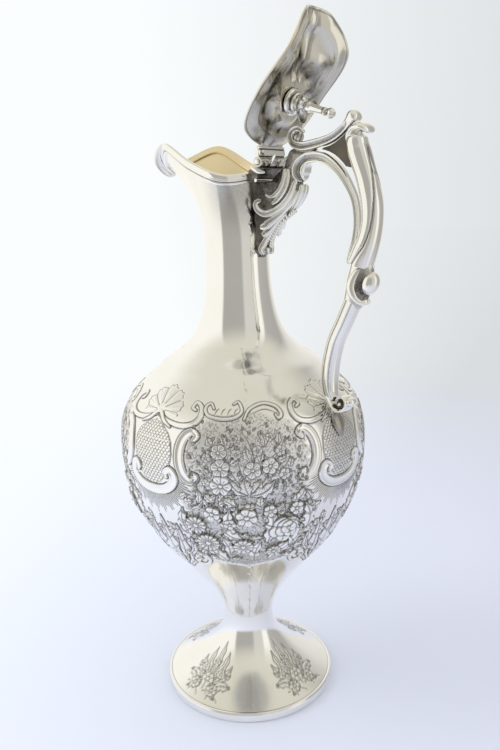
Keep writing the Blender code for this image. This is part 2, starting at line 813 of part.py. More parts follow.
# Lid leaf: a plate on the lid's back, with the middle knuckle at its end
def make_lid_hinge_leaf():
    half_knuckle = HINGE_WIDTH / 2 - KNUCKLE_LENGTH - SEAM_GAP
    near = HINGE_X - KNUCKLE_RADIUS - SEAM_GAP * 2
    far = near - HINGE_LEAF_LENGTH
    edge = NECK_RADIUS + MOUTH_BACK_OVERHANG
    lift = SEAM_GAP * 2
    spots = np.linspace(far, edge - WALL, 5)
    under = [(x, lid_height(x) + lift) for x in spots]
    over = [(x, z + HINGE_LEAF_THICKNESS) for x, z in under[::-1]]
    plate = plate_mesh("lid_hinge_leaf", under + over, HINGE_LEAF_WIDTH)
    made = part("lid_hinge_leaf", plate)
    arm_outline = [
        (edge - WALL * 4, lid_height(edge - WALL * 4) + lift * 1.5),
        (edge - WALL, lid_height(edge - WALL) + lift * 1.5),
        (HINGE_X, HINGE_Z - KNUCKLE_RADIUS * 0.5),
        (HINGE_X, HINGE_Z + KNUCKLE_RADIUS * 0.8),
        (edge - WALL * 4, lid_height(edge - WALL * 4) + lift + HINGE_LEAF_THICKNESS * 1.2),
    ]
    axis_place = (HINGE_X, 0.0, HINGE_Z)
    arm = tool("leaf_arm_tool", plate_mesh("leaf_arm", arm_outline, half_knuckle * 2))
    barrel = cylinder_mesh("leaf_knuckle", KNUCKLE_RADIUS, half_knuckle * 2, axis_place, (0, 1, 0))
    knuckle = tool("leaf_knuckle_tool", barrel)
    bore = cylinder_mesh(
        "leaf_hole", HINGE_PIN_RADIUS + HINGE_CLEARANCE, HINGE_WIDTH, axis_place, (0, 1, 0), 16
    )
    hole = tool("leaf_hole_tool", bore)
    boolean(made, arm, "UNION")
    boolean(made, knuckle, "UNION")
    boolean(made, hole, "DIFFERENCE")
    return [made, arm, knuckle, hole]


def make_finial():
    top = MOUTH_HEIGHT + LID_SEAT_RISE
    base = top + SEAM_GAP
    hole = STUD_RADIUS + SEAM_GAP
    step = COLLAR_HEIGHT / 2
    collar = [
        (hole, COLLAR_HEIGHT),
        (COLLAR_RADIUS * 0.55, COLLAR_HEIGHT),
        (COLLAR_RADIUS * 0.78, COLLAR_HEIGHT * 0.86),
        (COLLAR_RADIUS * 0.78, step * 1.25),
        (COLLAR_RADIUS * 0.62, step * 1.05),
        (COLLAR_RADIUS * 0.92, step * 0.90),
        (COLLAR_RADIUS, step * 0.50),
        (COLLAR_RADIUS * 0.92, COLLAR_HEIGHT * 0.12),
        (COLLAR_RADIUS * 0.5, 0.0),
        (hole, 0.0),
    ]
    collar = [(r, z + base) for r, z in collar]
    made = [part("finial_collar", turned_mesh("finial_collar", collar, closed=True, steps=16))]
    cup = base + COLLAR_HEIGHT + SEAM_GAP
    angles = np.linspace(0.0, 2 * math.pi, 24, endpoint=False)
    petal = np.abs(np.cos(angles * CALYX_LOBES / 2)) ** 0.7
    neck = FINIAL_RADIUS * 0.95
    section = [
        (hole, 0.0, 0.0),
        (neck, 0.0, 0.0),
        (neck, CALYX_RADIUS - neck, 0.35),
        (neck, CALYX_RADIUS - neck, 0.62),
        (neck, (CALYX_RADIUS - neck) * 0.45, 0.85),
        (neck, 0.0, 1.0),
        (hole, 0.0, 1.0),
    ]
    rows = []
    for radius, spread, tall in section:
        reach = radius + spread * petal
        height = np.full(len(angles), cup + tall * CALYX_HEIGHT)
        plan = np.column_stack((np.cos(angles) * reach, np.sin(angles) * reach, height))
        rows.append(plan)
    made.append(part("finial_calyx", rows_mesh("finial_calyx", rows, join_ends=True)))
    foot = cup + CALYX_HEIGHT + SEAM_GAP
    under = top - LID_WALL - SEAM_GAP
    nut_low = under - NUT_HEIGHT
    tip = foot + FINIAL_LENGTH
    stem = [
        (0.0, tip),
        (FINIAL_BUD_RADIUS * 0.6, tip - FINIAL_BUD_RADIUS * 0.15),
        (FINIAL_BUD_RADIUS, tip - FINIAL_BUD_RADIUS * 0.9),
        (FINIAL_BUD_RADIUS * 0.95, tip - FINIAL_BUD_RADIUS * 1.5),
        (FINIAL_TIP_RADIUS * 0.85, tip - FINIAL_BUD_RADIUS * 2.2),
        (FINIAL_TIP_RADIUS, foot + FINIAL_LENGTH * 0.45),
        (FINIAL_RADIUS, foot + FINIAL_LENGTH * 0.12),
        (FINIAL_RADIUS * 0.8, foot),
        (STUD_RADIUS, foot),
        (STUD_RADIUS, nut_low - STUD_RADIUS * 0.6),
        (0.0, nut_low - STUD_RADIUS * 0.6),
    ]
    made.append(part("finial_stem", turned_mesh("finial_stem", stem, closed=False, steps=14)))
    nut = [(hole, under), (NUT_RADIUS, under), (NUT_RADIUS, nut_low), (hole, nut_low)]
    made.append(part("finial_nut", turned_mesh("finial_nut", nut, closed=True, steps=6), 0.3))
    for piece in made:
        piece.data.transform(Matrix.Translation((LID_SEAT_X, 0.0, 0.0)))
    return made


def from_hinge(stations):
    return [(HINGE_X + s[0], HINGE_Z + s[1], *s[2:]) for s in stations]


def vessel_tool():
    low = SEAT_Z - 2 * LEAF_LENGTH
    outer = offset(FINE_BODY, -SEAM_GAP)
    outer = outer[(outer[:, 1] > low) & (outer[:, 1] < NECK_Z)]
    profile = np.vstack(((0.0, NECK_Z), (NECK_RADIUS + SEAM_GAP, NECK_Z), outer[::-3], (0.0, low)))
    return tool("vessel_tool", turned_mesh("vessel_tool", profile, closed=False, steps=80))


# Solid of the neck's outside, closed by a point below and one above
def neck_tool():
    rows = neck_rows(SEAM_GAP)[3:]
    for end in (0, -1):
        middle = np.broadcast_to(rows[end].mean(axis=0), rows[end].shape)
        rows.insert(0 if end == 0 else len(rows), middle)
    mesh = rows_mesh("neck_tool", rows)
    return tool("neck_tool", mesh)


def seam(stations, index):
    here = np.array(stations[index][:2])
    there = np.array(stations[index + 1 if index >= 0 else index - 1][:2])
    along = (here - there) if index < 0 else (there - here)
    along /= np.linalg.norm(along)
    return here, along


def make_handle():
    grip_path = from_hinge(GRIP)
    arm_path = from_hinge(ARM)
    scroll_path = from_hinge(SCROLL)
    boss_path = from_hinge(BOSS)
    seat_radius = body_radius(SEAT_Z)
    drop = HINGE_Z + BOSS[-1][1] - SEAT_Z
    lower_path = from_hinge(BOSS[-1:])
    lower_path += [(HINGE_X + s[0], SEAT_Z + drop * s[1], s[2]) for s in LOWER_ARM_UPPER]
    lower_path += [(seat_radius + s[0], SEAT_Z + drop * s[1], s[2]) for s in LOWER_ARM_LOWER]

    grip_tool = tool("grip_tool", swept_mesh("grip_tool", grip_path, GRIP_WIDTH, SEAM_GAP))
    arm_tool = tool("arm_tool", swept_mesh("arm_tool", arm_path, ARM_WIDTH, SEAM_GAP))
    scroll_tool = tool("scroll_tool", swept_mesh("scroll_tool", scroll_path, SCROLL_WIDTH, SEAM_GAP))
    vessel = vessel_tool()
    neck = neck_tool()

    half_gap = SEAM_GAP / 2
    upper_seam, upper_along = seam(boss_path, 0)
    lower_seam, lower_along = seam(boss_path, -1)

    def place(point, along, distance):
        spot = point + along * distance
        return (spot[0], 0.0, spot[1])

    def facing(along, sign):
        return (sign * along[0], 0.0, sign * along[1])

    grip_mesh = swept_mesh("handle_grip", grip_path, GRIP_WIDTH)
    trim(grip_mesh, place(upper_seam, upper_along, -half_gap), facing(upper_along, 1))
    part("handle_grip", grip_mesh)

    arm = part("handle_top_arm", swept_mesh("handle_top_arm", arm_path, ARM_WIDTH))
    boolean(arm, grip_tool, "DIFFERENCE")

    scroll = part("handle_inner_scroll", swept_mesh("handle_inner_scroll", scroll_path, SCROLL_WIDTH))
    boolean(scroll, grip_tool, "DIFFERENCE")
    boolean(scroll, arm_tool, "DIFFERENCE")

    bead_place = (HINGE_X + BEAD_OUT, 0.0, HINGE_Z + BEAD_UP)
    part("boss_bead", ball_mesh("boss_bead", bead_place, BEAD_SIZE), 0.08)
    bead_tool = tool("bead_tool", ball_mesh("bead_tool", bead_place, BEAD_SIZE, SEAM_GAP))
    boss_mesh = swept_mesh("handle_boss", boss_path, BOSS_WIDTH)
    trim(boss_mesh, place(upper_seam, upper_along, half_gap), facing(upper_along, -1))
    trim(boss_mesh, place(lower_seam, lower_along, -half_gap), facing(lower_along, 1))
    boss = part("handle_boss", boss_mesh)
    boolean(boss, bead_tool, "DIFFERENCE")
    boolean(boss, scroll_tool, "DIFFERENCE")

    lower_mesh = swept_mesh("handle_lower_arm", lower_path, LOWER_ARM_WIDTH)
    trim(lower_mesh, place(lower_seam, lower_along, half_gap), facing(lower_along, -1))
    lower = part("handle_lower_arm", lower_mesh)
    boolean(lower, vessel, "DIFFERENCE")

    outward = TERMINAL_RADIUS + SEAM_GAP * 2
    slope = np.array((body_radius(SEAT_Z + WALL) - body_radius(SEAT_Z - WALL), 2 * WALL))
    slope /= np.linalg.norm(slope)
    normal = np.array((slope[1], -slope[0]))
    roll = np.array((seat_radius, SEAT_Z)) + normal * outward
    terminal = cylinder_mesh(
        "terminal_scroll",
        TERMINAL_RADIUS,
        TERMINAL_WIDTH,
        (roll[0], 0.0, roll[1]),
        (0, 1, 0),
        18,
    )
    terminal_tool_mesh = cylinder_mesh(
        "terminal_tool",
        TERMINAL_RADIUS + SEAM_GAP,
        TERMINAL_WIDTH + 2 * SEAM_GAP,
        (roll[0], 0.0, roll[1]),
        (0, 1, 0),
        18,
    )
    terminal_tool = tool("terminal_tool", terminal_tool_mesh)
    scroll_end = part("terminal_scroll", terminal)
    rounding = scroll_end.modifiers.new("round", "BEVEL")
    rounding.width = TERMINAL_RADIUS * 0.3
    rounding.segments = 2
    boolean(lower, terminal_tool, "DIFFERENCE")

    leaf_path = []
    for share, radius in ((0.0, 0.7), (0.3, 1.0), (0.65, 0.8), (1.0, 0.3)):
        z = SEAT_Z - TERMINAL_RADIUS * 0.6 - LEAF_LENGTH * share
        leaf_path.append((body_radius(z) + LEAF_THICKNESS * 0.35, z, LEAF_THICKNESS * radius))
    leaf = part("terminal_leaf", swept_mesh("terminal_leaf", leaf_path, LEAF_WIDTH))
    boolean(leaf, vessel, "DIFFERENCE")
    boolean(leaf, terminal_tool, "DIFFERENCE")

    web_mesh = plate_mesh("handle_web", from_hinge(WEB)[::-1], WEB_THICKNESS)
    web = part("handle_web", web_mesh, 0.35)
    for other in (arm_tool, scroll_tool, grip_tool):
        boolean(web, other, "DIFFERENCE")

    make_bracket(neck, (scroll_tool, arm_tool))


def make_bracket(neck, neighbours):
    edge = through(from_hinge(BRACKET_EDGE), 3)
    block_low = MOUTH_HEIGHT + MOUTH_BACK_RISE - RIM_HEIGHT - SEAM_GAP
    block_outer = HINGE_X + KNUCKLE_RADIUS + SEAM_GAP
    outline = list(map(tuple, edge)) + from_hinge(BRACKET_HEAD)
    outline += [
        (block_outer, block_low + BRACKET_ROUND),
        (block_outer, block_low),
        (NECK_RADIUS - 3 * BRACKET_ROUND, block_low),
        (NECK_RADIUS - 3 * BRACKET_ROUND, edge[0][1]),
    ]
    mesh = plate_mesh("handle_bracket", outline, BRACKET_THICKNESS, BRACKET_ROUND)
    bracket = part("handle_bracket", mesh, 0.2)
    boolean(bracket, neck, "DIFFERENCE")
    for other in neighbours:
        boolean(bracket, other, "DIFFERENCE")

    fine = through(from_hinge(BRACKET_EDGE[1:-1]), 24)
    side = offset(fine, -(BEADING_RADIUS + SEAM_GAP))
    travel = np.concatenate(((0.0,), np.cumsum(np.linalg.norm(np.diff(side, axis=0), axis=1))))
    count = int(travel[-1] / BEADING_PITCH)
    stations = []
    for i in range(count * 2 + 1):
        where = i * BEADING_PITCH / 2
        x = np.interp(where, travel, side[:, 0])
        z = np.interp(where, travel, side[:, 1])
        stations.append((x, z, BEADING_RADIUS * (1.0 if i % 2 else BEADING_WAIST)))
    part("bracket_beading", swept_mesh("bracket_beading", stations, 1.0, 0.0, 1))


# The lid's pieces hang on a pivot on the hinge axis, which holds them open
def hang_lid(pieces):
    pivot = bpy.data.objects.new("lid_pivot", None)
    pitcher.objects.link(pivot)
    pivot.location = (HINGE_X, 0.0, HINGE_Z)
    for piece in pieces:
        piece.data.transform(Matrix.Translation((-HINGE_X, 0.0, -HINGE_Z)))
        piece.parent = pivot
    pivot.rotation_euler = (0.0, LID_OPEN, 0.0)
    bpy.context.view_layer.update()


make_foot()
make_foot_rim()
make_bowl()
make_neck()
make_rim_moulding()
make_hinge_base()
make_hinge_pin()
make_handle()
hang_lid([make_lid(), *make_lid_hinge_leaf(), *make_finial()])
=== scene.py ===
import math

import bmesh
import bpy
import numpy as np
from mathutils import Matrix


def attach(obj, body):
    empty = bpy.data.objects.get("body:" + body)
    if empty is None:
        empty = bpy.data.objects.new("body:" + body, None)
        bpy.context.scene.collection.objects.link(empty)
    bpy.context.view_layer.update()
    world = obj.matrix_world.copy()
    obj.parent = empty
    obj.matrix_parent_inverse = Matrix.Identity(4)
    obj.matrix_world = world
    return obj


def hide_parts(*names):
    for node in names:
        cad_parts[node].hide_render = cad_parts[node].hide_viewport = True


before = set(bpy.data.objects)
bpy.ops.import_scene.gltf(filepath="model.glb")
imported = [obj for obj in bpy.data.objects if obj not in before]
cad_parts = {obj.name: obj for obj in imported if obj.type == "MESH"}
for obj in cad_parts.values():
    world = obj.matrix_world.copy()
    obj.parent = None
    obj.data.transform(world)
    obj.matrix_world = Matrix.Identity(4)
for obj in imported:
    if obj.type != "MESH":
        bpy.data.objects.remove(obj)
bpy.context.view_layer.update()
mm = 0.001  # shapes are worked out in millimetres and put into meshes in metres
print("frame:", len(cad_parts), "nodes")


# cubic curve from start to end, pulled towards two reaches
def bezier(start, reachA, reachB, end, count):
    t = np.linspace(0.0, 1.0, count)[:, None]
    a, b, c, d = (np.array(p, float) for p in (start, reachA, reachB, end))
    return (1 - t) ** 3 * a + 3 * (1 - t) ** 2 * t * b + 3 * (1 - t) * t * t * c + t**3 * d


# smooth line through the points: cubic spans, with slopes taken from the neighbours on each side
def through(points, count, closed=False):
    p = np.asarray(points, float)
    spans = len(p) if closed else len(p) - 1
    ends = (p[-1:], p[:2]) if closed else (2 * p[:1] - p[1:2], 2 * p[-1:] - p[-2:-1])
    p = np.vstack((ends[0], p, ends[1]))
    u = np.linspace(0, spans, count, endpoint=not closed)
    i = np.minimum(u.astype(int), spans - 1)
    t = (u - i)[:, None]
    a, b, c, d = p[i], p[i + 1], p[i + 2], p[i + 3]
    turn = (c - a) / 2 * (t**3 - 2 * t**2 + t) + (d - b) / 2 * (t**3 - t**2)
    return b * (2 * t**3 - 3 * t**2 + 1) + c * (3 * t**2 - 2 * t**3) + turn


# 0 below low, 1 above high, smooth between
def ease(x, low, high):
    t = np.clip((x - low) / (high - low), 0.0, 1.0)
    return t * t * (3 - 2 * t)


# each vector divided by its length
def unit(v):
    return v / np.maximum(np.linalg.norm(v, axis=-1, keepdims=True), 1e-12)


# one object from grids of points in mm; a grid may close on itself along its rows or columns
def buildPiece(name, sheets, finishes, body, nodes=(), weld=True, normals=None,
               crease=None):
    points, quads, paints, darks, mattes, start = [], [], [], [], [], 0
    for sheet in sheets:
        grid = sheet["grid"]
        rows, cols = grid.shape[:2]
        index = start + np.arange(rows * cols).reshape(rows, cols)
        if sheet.get("wrapRows"):
            index = np.vstack((index, index[:1]))
        if sheet.get("wrapCols"):
            index = np.hstack((index, index[:, :1]))
        quad = np.stack((index[:-1, :-1], index[:-1, 1:], index[1:, 1:], index[1:, :-1]), axis=-1)
        paint = np.asarray(sheet.get("paint", 0)).reshape(-1, 1)
        paints.append(np.broadcast_to(paint, quad.shape[:2]).ravel())
        quads.append(quad.reshape(-1, 4))
        points.append(grid.reshape(-1, 3))
        blank = np.zeros((rows, cols))
        darks.append(np.broadcast_to(sheet.get("dark", blank), (rows, cols)).ravel())
        mattes.append(np.broadcast_to(sheet.get("matte", blank), (rows, cols)).ravel())
        start += rows * cols
    points, quads = np.concatenate(points) * mm, np.concatenate(quads)
    mesh = bpy.data.meshes.new(name)
    mesh.vertices.add(len(points))
    mesh.vertices.foreach_set("co", points.astype(np.float32).ravel())
    mesh.loops.add(quads.size)
    mesh.loops.foreach_set("vertex_index", quads.astype(np.int32).ravel())
    mesh.polygons.add(len(quads))
    mesh.polygons.foreach_set("loop_start", np.arange(0, quads.size, 4, dtype=np.int32))
    mesh.polygons.foreach_set("material_index", np.concatenate(paints).astype(np.int32))
    mesh.update(calc_edges=True)
    for title, values in (("dark", darks), ("matte", mattes)):
        layer = mesh.attributes.new(title, "FLOAT", "POINT")
        layer.data.foreach_set("value", np.clip(np.concatenate(values), 0, 1).astype(np.float32))
    for finish in finishes:
        mesh.materials.append(finish)
    if weld:
        form = bmesh.new()
        form.from_mesh(mesh)
        bmesh.ops.remove_doubles(form, verts=form.verts, dist=2e-6)
        bmesh.ops.dissolve_degenerate(form, edges=form.edges, dist=1e-7)
        bmesh.ops.recalc_face_normals(form, faces=form.faces)
        form.to_mesh(mesh)
        form.free()
    mesh.shade_smooth()
    if crease:
        mesh.set_sharp_from_angle(angle=math.radians(crease))
    if normals is not None:
        mesh.normals_split_custom_set_from_vertices(normals.reshape(-1, 3).tolist())
    made = bpy.data.objects.new(name, mesh)
    bpy.context.scene.collection.objects.link(made)
    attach(made, body)
    if nodes:
        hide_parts(*nodes)
    return made


# (radius, height) line turned about the vertical axis
def turned(line, count):
    angle = np.linspace(0, 2 * np.pi, count, endpoint=False)
    r, z = line[:, :1], line[:, 1:2]
    return np.stack((r * np.cos(angle), r * np.sin(angle), z + 0 * angle), axis=-1)


# finishes

# one named input or output of a node group
def addSocket(group, name, kind, way, value=None):
    socket = group.interface.new_socket(name=name, in_out=way, socket_type=kind)
    if value is not None:
        socket.default_value = value


# clouding, darkening by the dark attribute (tarnish in recesses together with painted shade), punched
# matting and fine scratches, shared by every silver finish
def silverSkin():
    group = bpy.data.node_groups.new("silverSkin", "ShaderNodeTree")
    addSocket(group, "Metal", "NodeSocketColor", "INPUT", (0.9, 0.9, 0.88, 1))
    addSocket(group, "TarnishAndShade", "NodeSocketColor", "INPUT", (0.05, 0.045, 0.04, 1))
    addSocket(group, "Shine", "NodeSocketFloat", "INPUT", 0.1)
    addSocket(group, "Cloud", "NodeSocketFloat", "INPUT", 0.3)
    addSocket(group, "Color", "NodeSocketColor", "OUTPUT")
    addSocket(group, "Roughness", "NodeSocketFloat", "OUTPUT")
    addSocket(group, "Normal", "NodeSocketVector", "OUTPUT")
    nodes, links = group.nodes, group.links
    given, out = nodes.new("NodeGroupInput"), nodes.new("NodeGroupOutput")
    place = nodes.new("ShaderNodeTexCoord")
    dark, matte = nodes.new("ShaderNodeAttribute"), nodes.new("ShaderNodeAttribute")
    dark.attribute_name, matte.attribute_name = "dark", "matte"
    cloud, grain, punch, scratch = (nodes.new("ShaderNodeTexNoise") for k in range(4))
    for noise, scale, detail in ((cloud, 55, 3), (grain, 700, 2), (punch, 1500, 2), (scratch, 260, 4)):
        noise.inputs["Scale"].default_value = scale
        noise.inputs["Detail"].default_value = detail
    stretch = nodes.new("ShaderNodeMapping")
    stretch.inputs["Scale"].default_value = (1.0, 1.0, 9.0)
    links.new(place.outputs["Object"], stretch.inputs["Vector"])
    for noise in (cloud, grain, punch):
        links.new(place.outputs["Object"], noise.inputs["Vector"])
    links.new(stretch.outputs["Vector"], scratch.inputs["Vector"])

    # one sum of two values or sockets
    def combine(kind, first, second):
        node = nodes.new("ShaderNodeMath")
        node.operation = kind
        for slotIn, value in zip(node.inputs, (first, second)):
            if isinstance(value, (int, float)):
                slotIn.default_value = value
            else:
                links.new(value, slotIn)
        return node.outputs[0]

    haze = combine("MULTIPLY", combine("SUBTRACT", cloud.outputs["Fac"], 0.42), given.outputs["Cloud"])
    haze = combine("MAXIMUM", haze, 0.0)
    patchy = combine("ADD", combine("MULTIPLY", grain.outputs["Fac"], 0.5), 0.72)
    # the dark attribute mixes the metal towards the colour for tarnish and painted shade
    deep = combine("MINIMUM", combine("MULTIPLY", dark.outputs["Fac"], patchy), 1.0)
    warm, black = nodes.new("ShaderNodeMix"), nodes.new("ShaderNodeMix")
    warm.data_type = black.data_type = "RGBA"
    links.new(haze, warm.inputs["Factor"])
    links.new(given.outputs["Metal"], warm.inputs[6])
    warm.inputs[7].default_value = (0.72, 0.63, 0.46, 1)
    links.new(deep, black.inputs["Factor"])
    links.new(warm.outputs[2], black.inputs[6])
    links.new(given.outputs["TarnishAndShade"], black.inputs[7])
    rough = combine("ADD", given.outputs["Shine"], combine("MULTIPLY", matte.outputs["Fac"], 0.2))
    rough = combine("ADD", rough, combine("MULTIPLY", deep, 0.25))
    rough = combine("ADD", rough, combine("MULTIPLY", haze, 0.3))
    relief = combine("MULTIPLY", combine("MULTIPLY", punch.outputs["Fac"], matte.outputs["Fac"]), 0.9)
    relief = combine("ADD", relief, combine("MULTIPLY", scratch.outputs["Fac"], 0.012))
    bump = nodes.new("ShaderNodeBump")
    bump.inputs["Strength"].default_value = 0.6
    bump.inputs["Distance"].default_value = 0.0004
    links.new(relief, bump.inputs["Height"])
    links.new(black.outputs[2], out.inputs["Color"])
    links.new(rough, out.inputs["Roughness"])
    links.new(bump.outputs["Normal"], out.inputs["Normal"])
    return group


skin = silverSkin()


# one silver: the shared skin with its own metal, colour for tarnish and painted shade, shine and clouding
def silverFinish(name, metal, tarnishAndShade, shine, cloud):
    made = bpy.data.materials.new(name)
    made.use_nodes = True
    nodes, links = made.node_tree.nodes, made.node_tree.links
    shader = nodes["Principled BSDF"]
    shader.inputs["Metallic"].default_value = 1.0
    group = nodes.new("ShaderNodeGroup")
    group.node_tree = skin
    group.inputs["Metal"].default_value = (*metal, 1)
    group.inputs["TarnishAndShade"].default_value = (*tarnishAndShade, 1)
    group.inputs["Shine"].default_value = shine
    group.inputs["Cloud"].default_value = cloud
    links.new(group.outputs["Color"], shader.inputs["Base Color"])
    links.new(group.outputs["Roughness"], shader.inputs["Roughness"])
    links.new(group.outputs["Normal"], shader.inputs["Normal"])
    return made


sheetSilver = silverFinish("polishedSheetSilver", (0.95, 0.94, 0.91), (0.05, 0.045, 0.04), 0.07, 0.35)
chasedSilver = silverFinish("chasedSilver", (0.94, 0.93, 0.90), (0.045, 0.04, 0.035), 0.13, 0.30)
castSilver = silverFinish("castSilver", (0.92, 0.91, 0.87), (0.06, 0.048, 0.036), 0.08, 0.45)
# the lid's silver is darker and warmer than the rest: painted shade and painted reflection of a grey room
lidShadedSilver = silverFinish("lidShadedSilver", (0.84, 0.81, 0.73), (0.06, 0.05, 0.03), 0.06, 0.45)
# dark silver for the terminal's leaf: tarnish, together with painted shade where the leaf lies under the
# handle
darkSilver = silverFinish("tarnishedShadedSilver", (0.36, 0.34, 0.31), (0.05, 0.045, 0.04), 0.22, 0.60)
giltSilver = silverFinish("giltLining", (0.94, 0.80, 0.53), (0.25, 0.16, 0.08), 0.30, 0.35)
# near-black silver for the web between the handle's scrolls: oxide, together with painted shade of the
# recess
webSilver = silverFinish("oxidisedShadedWeb", (0.085, 0.075, 0.064), (0.03, 0.027, 0.024), 0.40, 0.50)
print("finishes done")

# floor, surroundings, lamps and camera

studio = {
    # floor colours, light on the left and darker on the right: a painted falloff of light
    "floorLeft": (0.84, 0.885, 0.99), "floorRight": (0.665, 0.69, 0.80),
    # backdrop tones, lighter on the left and darker on the right: a painted falloff of light
    "leftTone": (0.965, 0.99, 1.0), "rightTone": (0.69, 0.72, 0.735),
    "leftward": (-0.731, -0.682, 0.0),
    "viewerSide": 47.0,
    "ceilingTone": (0.72, 0.70, 0.61),
    "fillTone": (1.0, 1.0, 1.02),
    # grey level of the surroundings by degrees to the right of the viewer
    "walls": [(-180, 1.0), (-56, 1.0), (-50, 0.43), (12, 0.43), (19, 0.66), (50, 0.66), (54, 1.0),
              (72, 1.0), (78, 0.46), (122, 0.42), (140, 0.75), (180, 1.0)],
    "wallTint": (1.0, 0.985, 0.93),
}


# tone that goes from right to left along a vector
def sideTone(nodes, links, vector, low, high, tones):
    dot = nodes.new("ShaderNodeVectorMath")
    dot.operation = "DOT_PRODUCT"
    dot.inputs[1].default_value = studio["leftward"]
    links.new(vector, dot.inputs[0])
    ramp = nodes.new("ShaderNodeMapRange")
    ramp.inputs["From Min"].default_value = low
    ramp.inputs["From Max"].default_value = high
    links.new(dot.outputs["Value"], ramp.inputs["Value"])
    mix = nodes.new("ShaderNodeMix")
    mix.data_type = "RGBA"
    links.new(ramp.outputs["Result"], mix.inputs["Factor"])
    mix.inputs[6].default_value = (*studio[tones[0]], 1)
    mix.inputs[7].default_value = (*studio[tones[1]], 1)
    return mix.outputs[2]


# pale floor that takes the object's shadow and runs out into the backdrop's tone; near the object its colour
# goes from bluish white on the left to grey on the right, a painted falloff of light
def makeFloor():
    ring = np.array([0.0, 150.0, 400.0, 900.0, 2500.0, 7000.0])
    grid = turned(np.column_stack((ring, 0 * ring - 0.2)), 64)
    index = np.arange(grid.shape[0] * 64).reshape(-1, 64)
    index = np.hstack((index, index[:, :1]))
    quad = np.stack((index[:-1, :-1], index[1:, :-1], index[1:, 1:], index[:-1, 1:]), axis=-1).reshape(-1, 4)
    mesh = bpy.data.meshes.new("floor")
    mesh.from_pydata((grid.reshape(-1, 3) * mm).tolist(), [], quad.tolist())
    form = bmesh.new()
    form.from_mesh(mesh)
    bmesh.ops.remove_doubles(form, verts=form.verts, dist=1e-6)
    form.to_mesh(mesh)
    form.free()
    made = bpy.data.objects.new("floor", mesh)
    bpy.context.scene.collection.objects.link(made)
    paper = bpy.data.materials.new("palePaper")
    paper.use_nodes = True
    nodes, links = paper.node_tree.nodes, paper.node_tree.links
    shader, out = nodes["Principled BSDF"], nodes["Material Output"]
    shader.inputs["Roughness"].default_value = 0.9
    shader.inputs["Specular IOR Level"].default_value = 0.1
    place = nodes.new("ShaderNodeTexCoord")
    # painted falloff of light: the floor's colour darkens from left to right
    near = sideTone(nodes, links, place.outputs["Object"], -0.30, 0.22, ("floorRight", "floorLeft"))
    links.new(near, shader.inputs["Base Color"])
    length = nodes.new("ShaderNodeVectorMath")
    length.operation = "LENGTH"
    links.new(place.outputs["Object"], length.inputs[0])
    fade = nodes.new("ShaderNodeMapRange")
    fade.interpolation_type = "SMOOTHSTEP"
    fade.inputs["From Min"].default_value = 0.14
    fade.inputs["From Max"].default_value = 0.95
    links.new(length.outputs["Value"], fade.inputs["Value"])
    way = nodes.new("ShaderNodeVectorMath")
    way.operation = "NORMALIZE"
    links.new(place.outputs["Object"], way.inputs[0])
    kinds = ("Emission", "BsdfTransparent", "LightPath")
    glow, clear, path = (nodes.new("ShaderNode" + kind) for kind in kinds)
    # the far floor glows for the camera in the backdrop's tone, which darkens from left to right as a
    # painted falloff of light
    far = sideTone(nodes, links, way.outputs["Vector"], -0.45, 0.12, ("rightTone", "leftTone"))
    links.new(far, glow.inputs["Color"])
    edge, mix = nodes.new("ShaderNodeMixShader"), nodes.new("ShaderNodeMixShader")
    links.new(path.outputs["Is Camera Ray"], edge.inputs["Fac"])
    links.new(clear.outputs["BSDF"], edge.inputs[1])
    links.new(glow.outputs["Emission"], edge.inputs[2])
    links.new(fade.outputs["Result"], mix.inputs["Fac"])
    links.new(shader.outputs["BSDF"], mix.inputs[1])
    links.new(edge.outputs["Shader"], mix.inputs[2])
    links.new(mix.outputs["Shader"], out.inputs["Surface"])
    mesh.materials.append(paper)


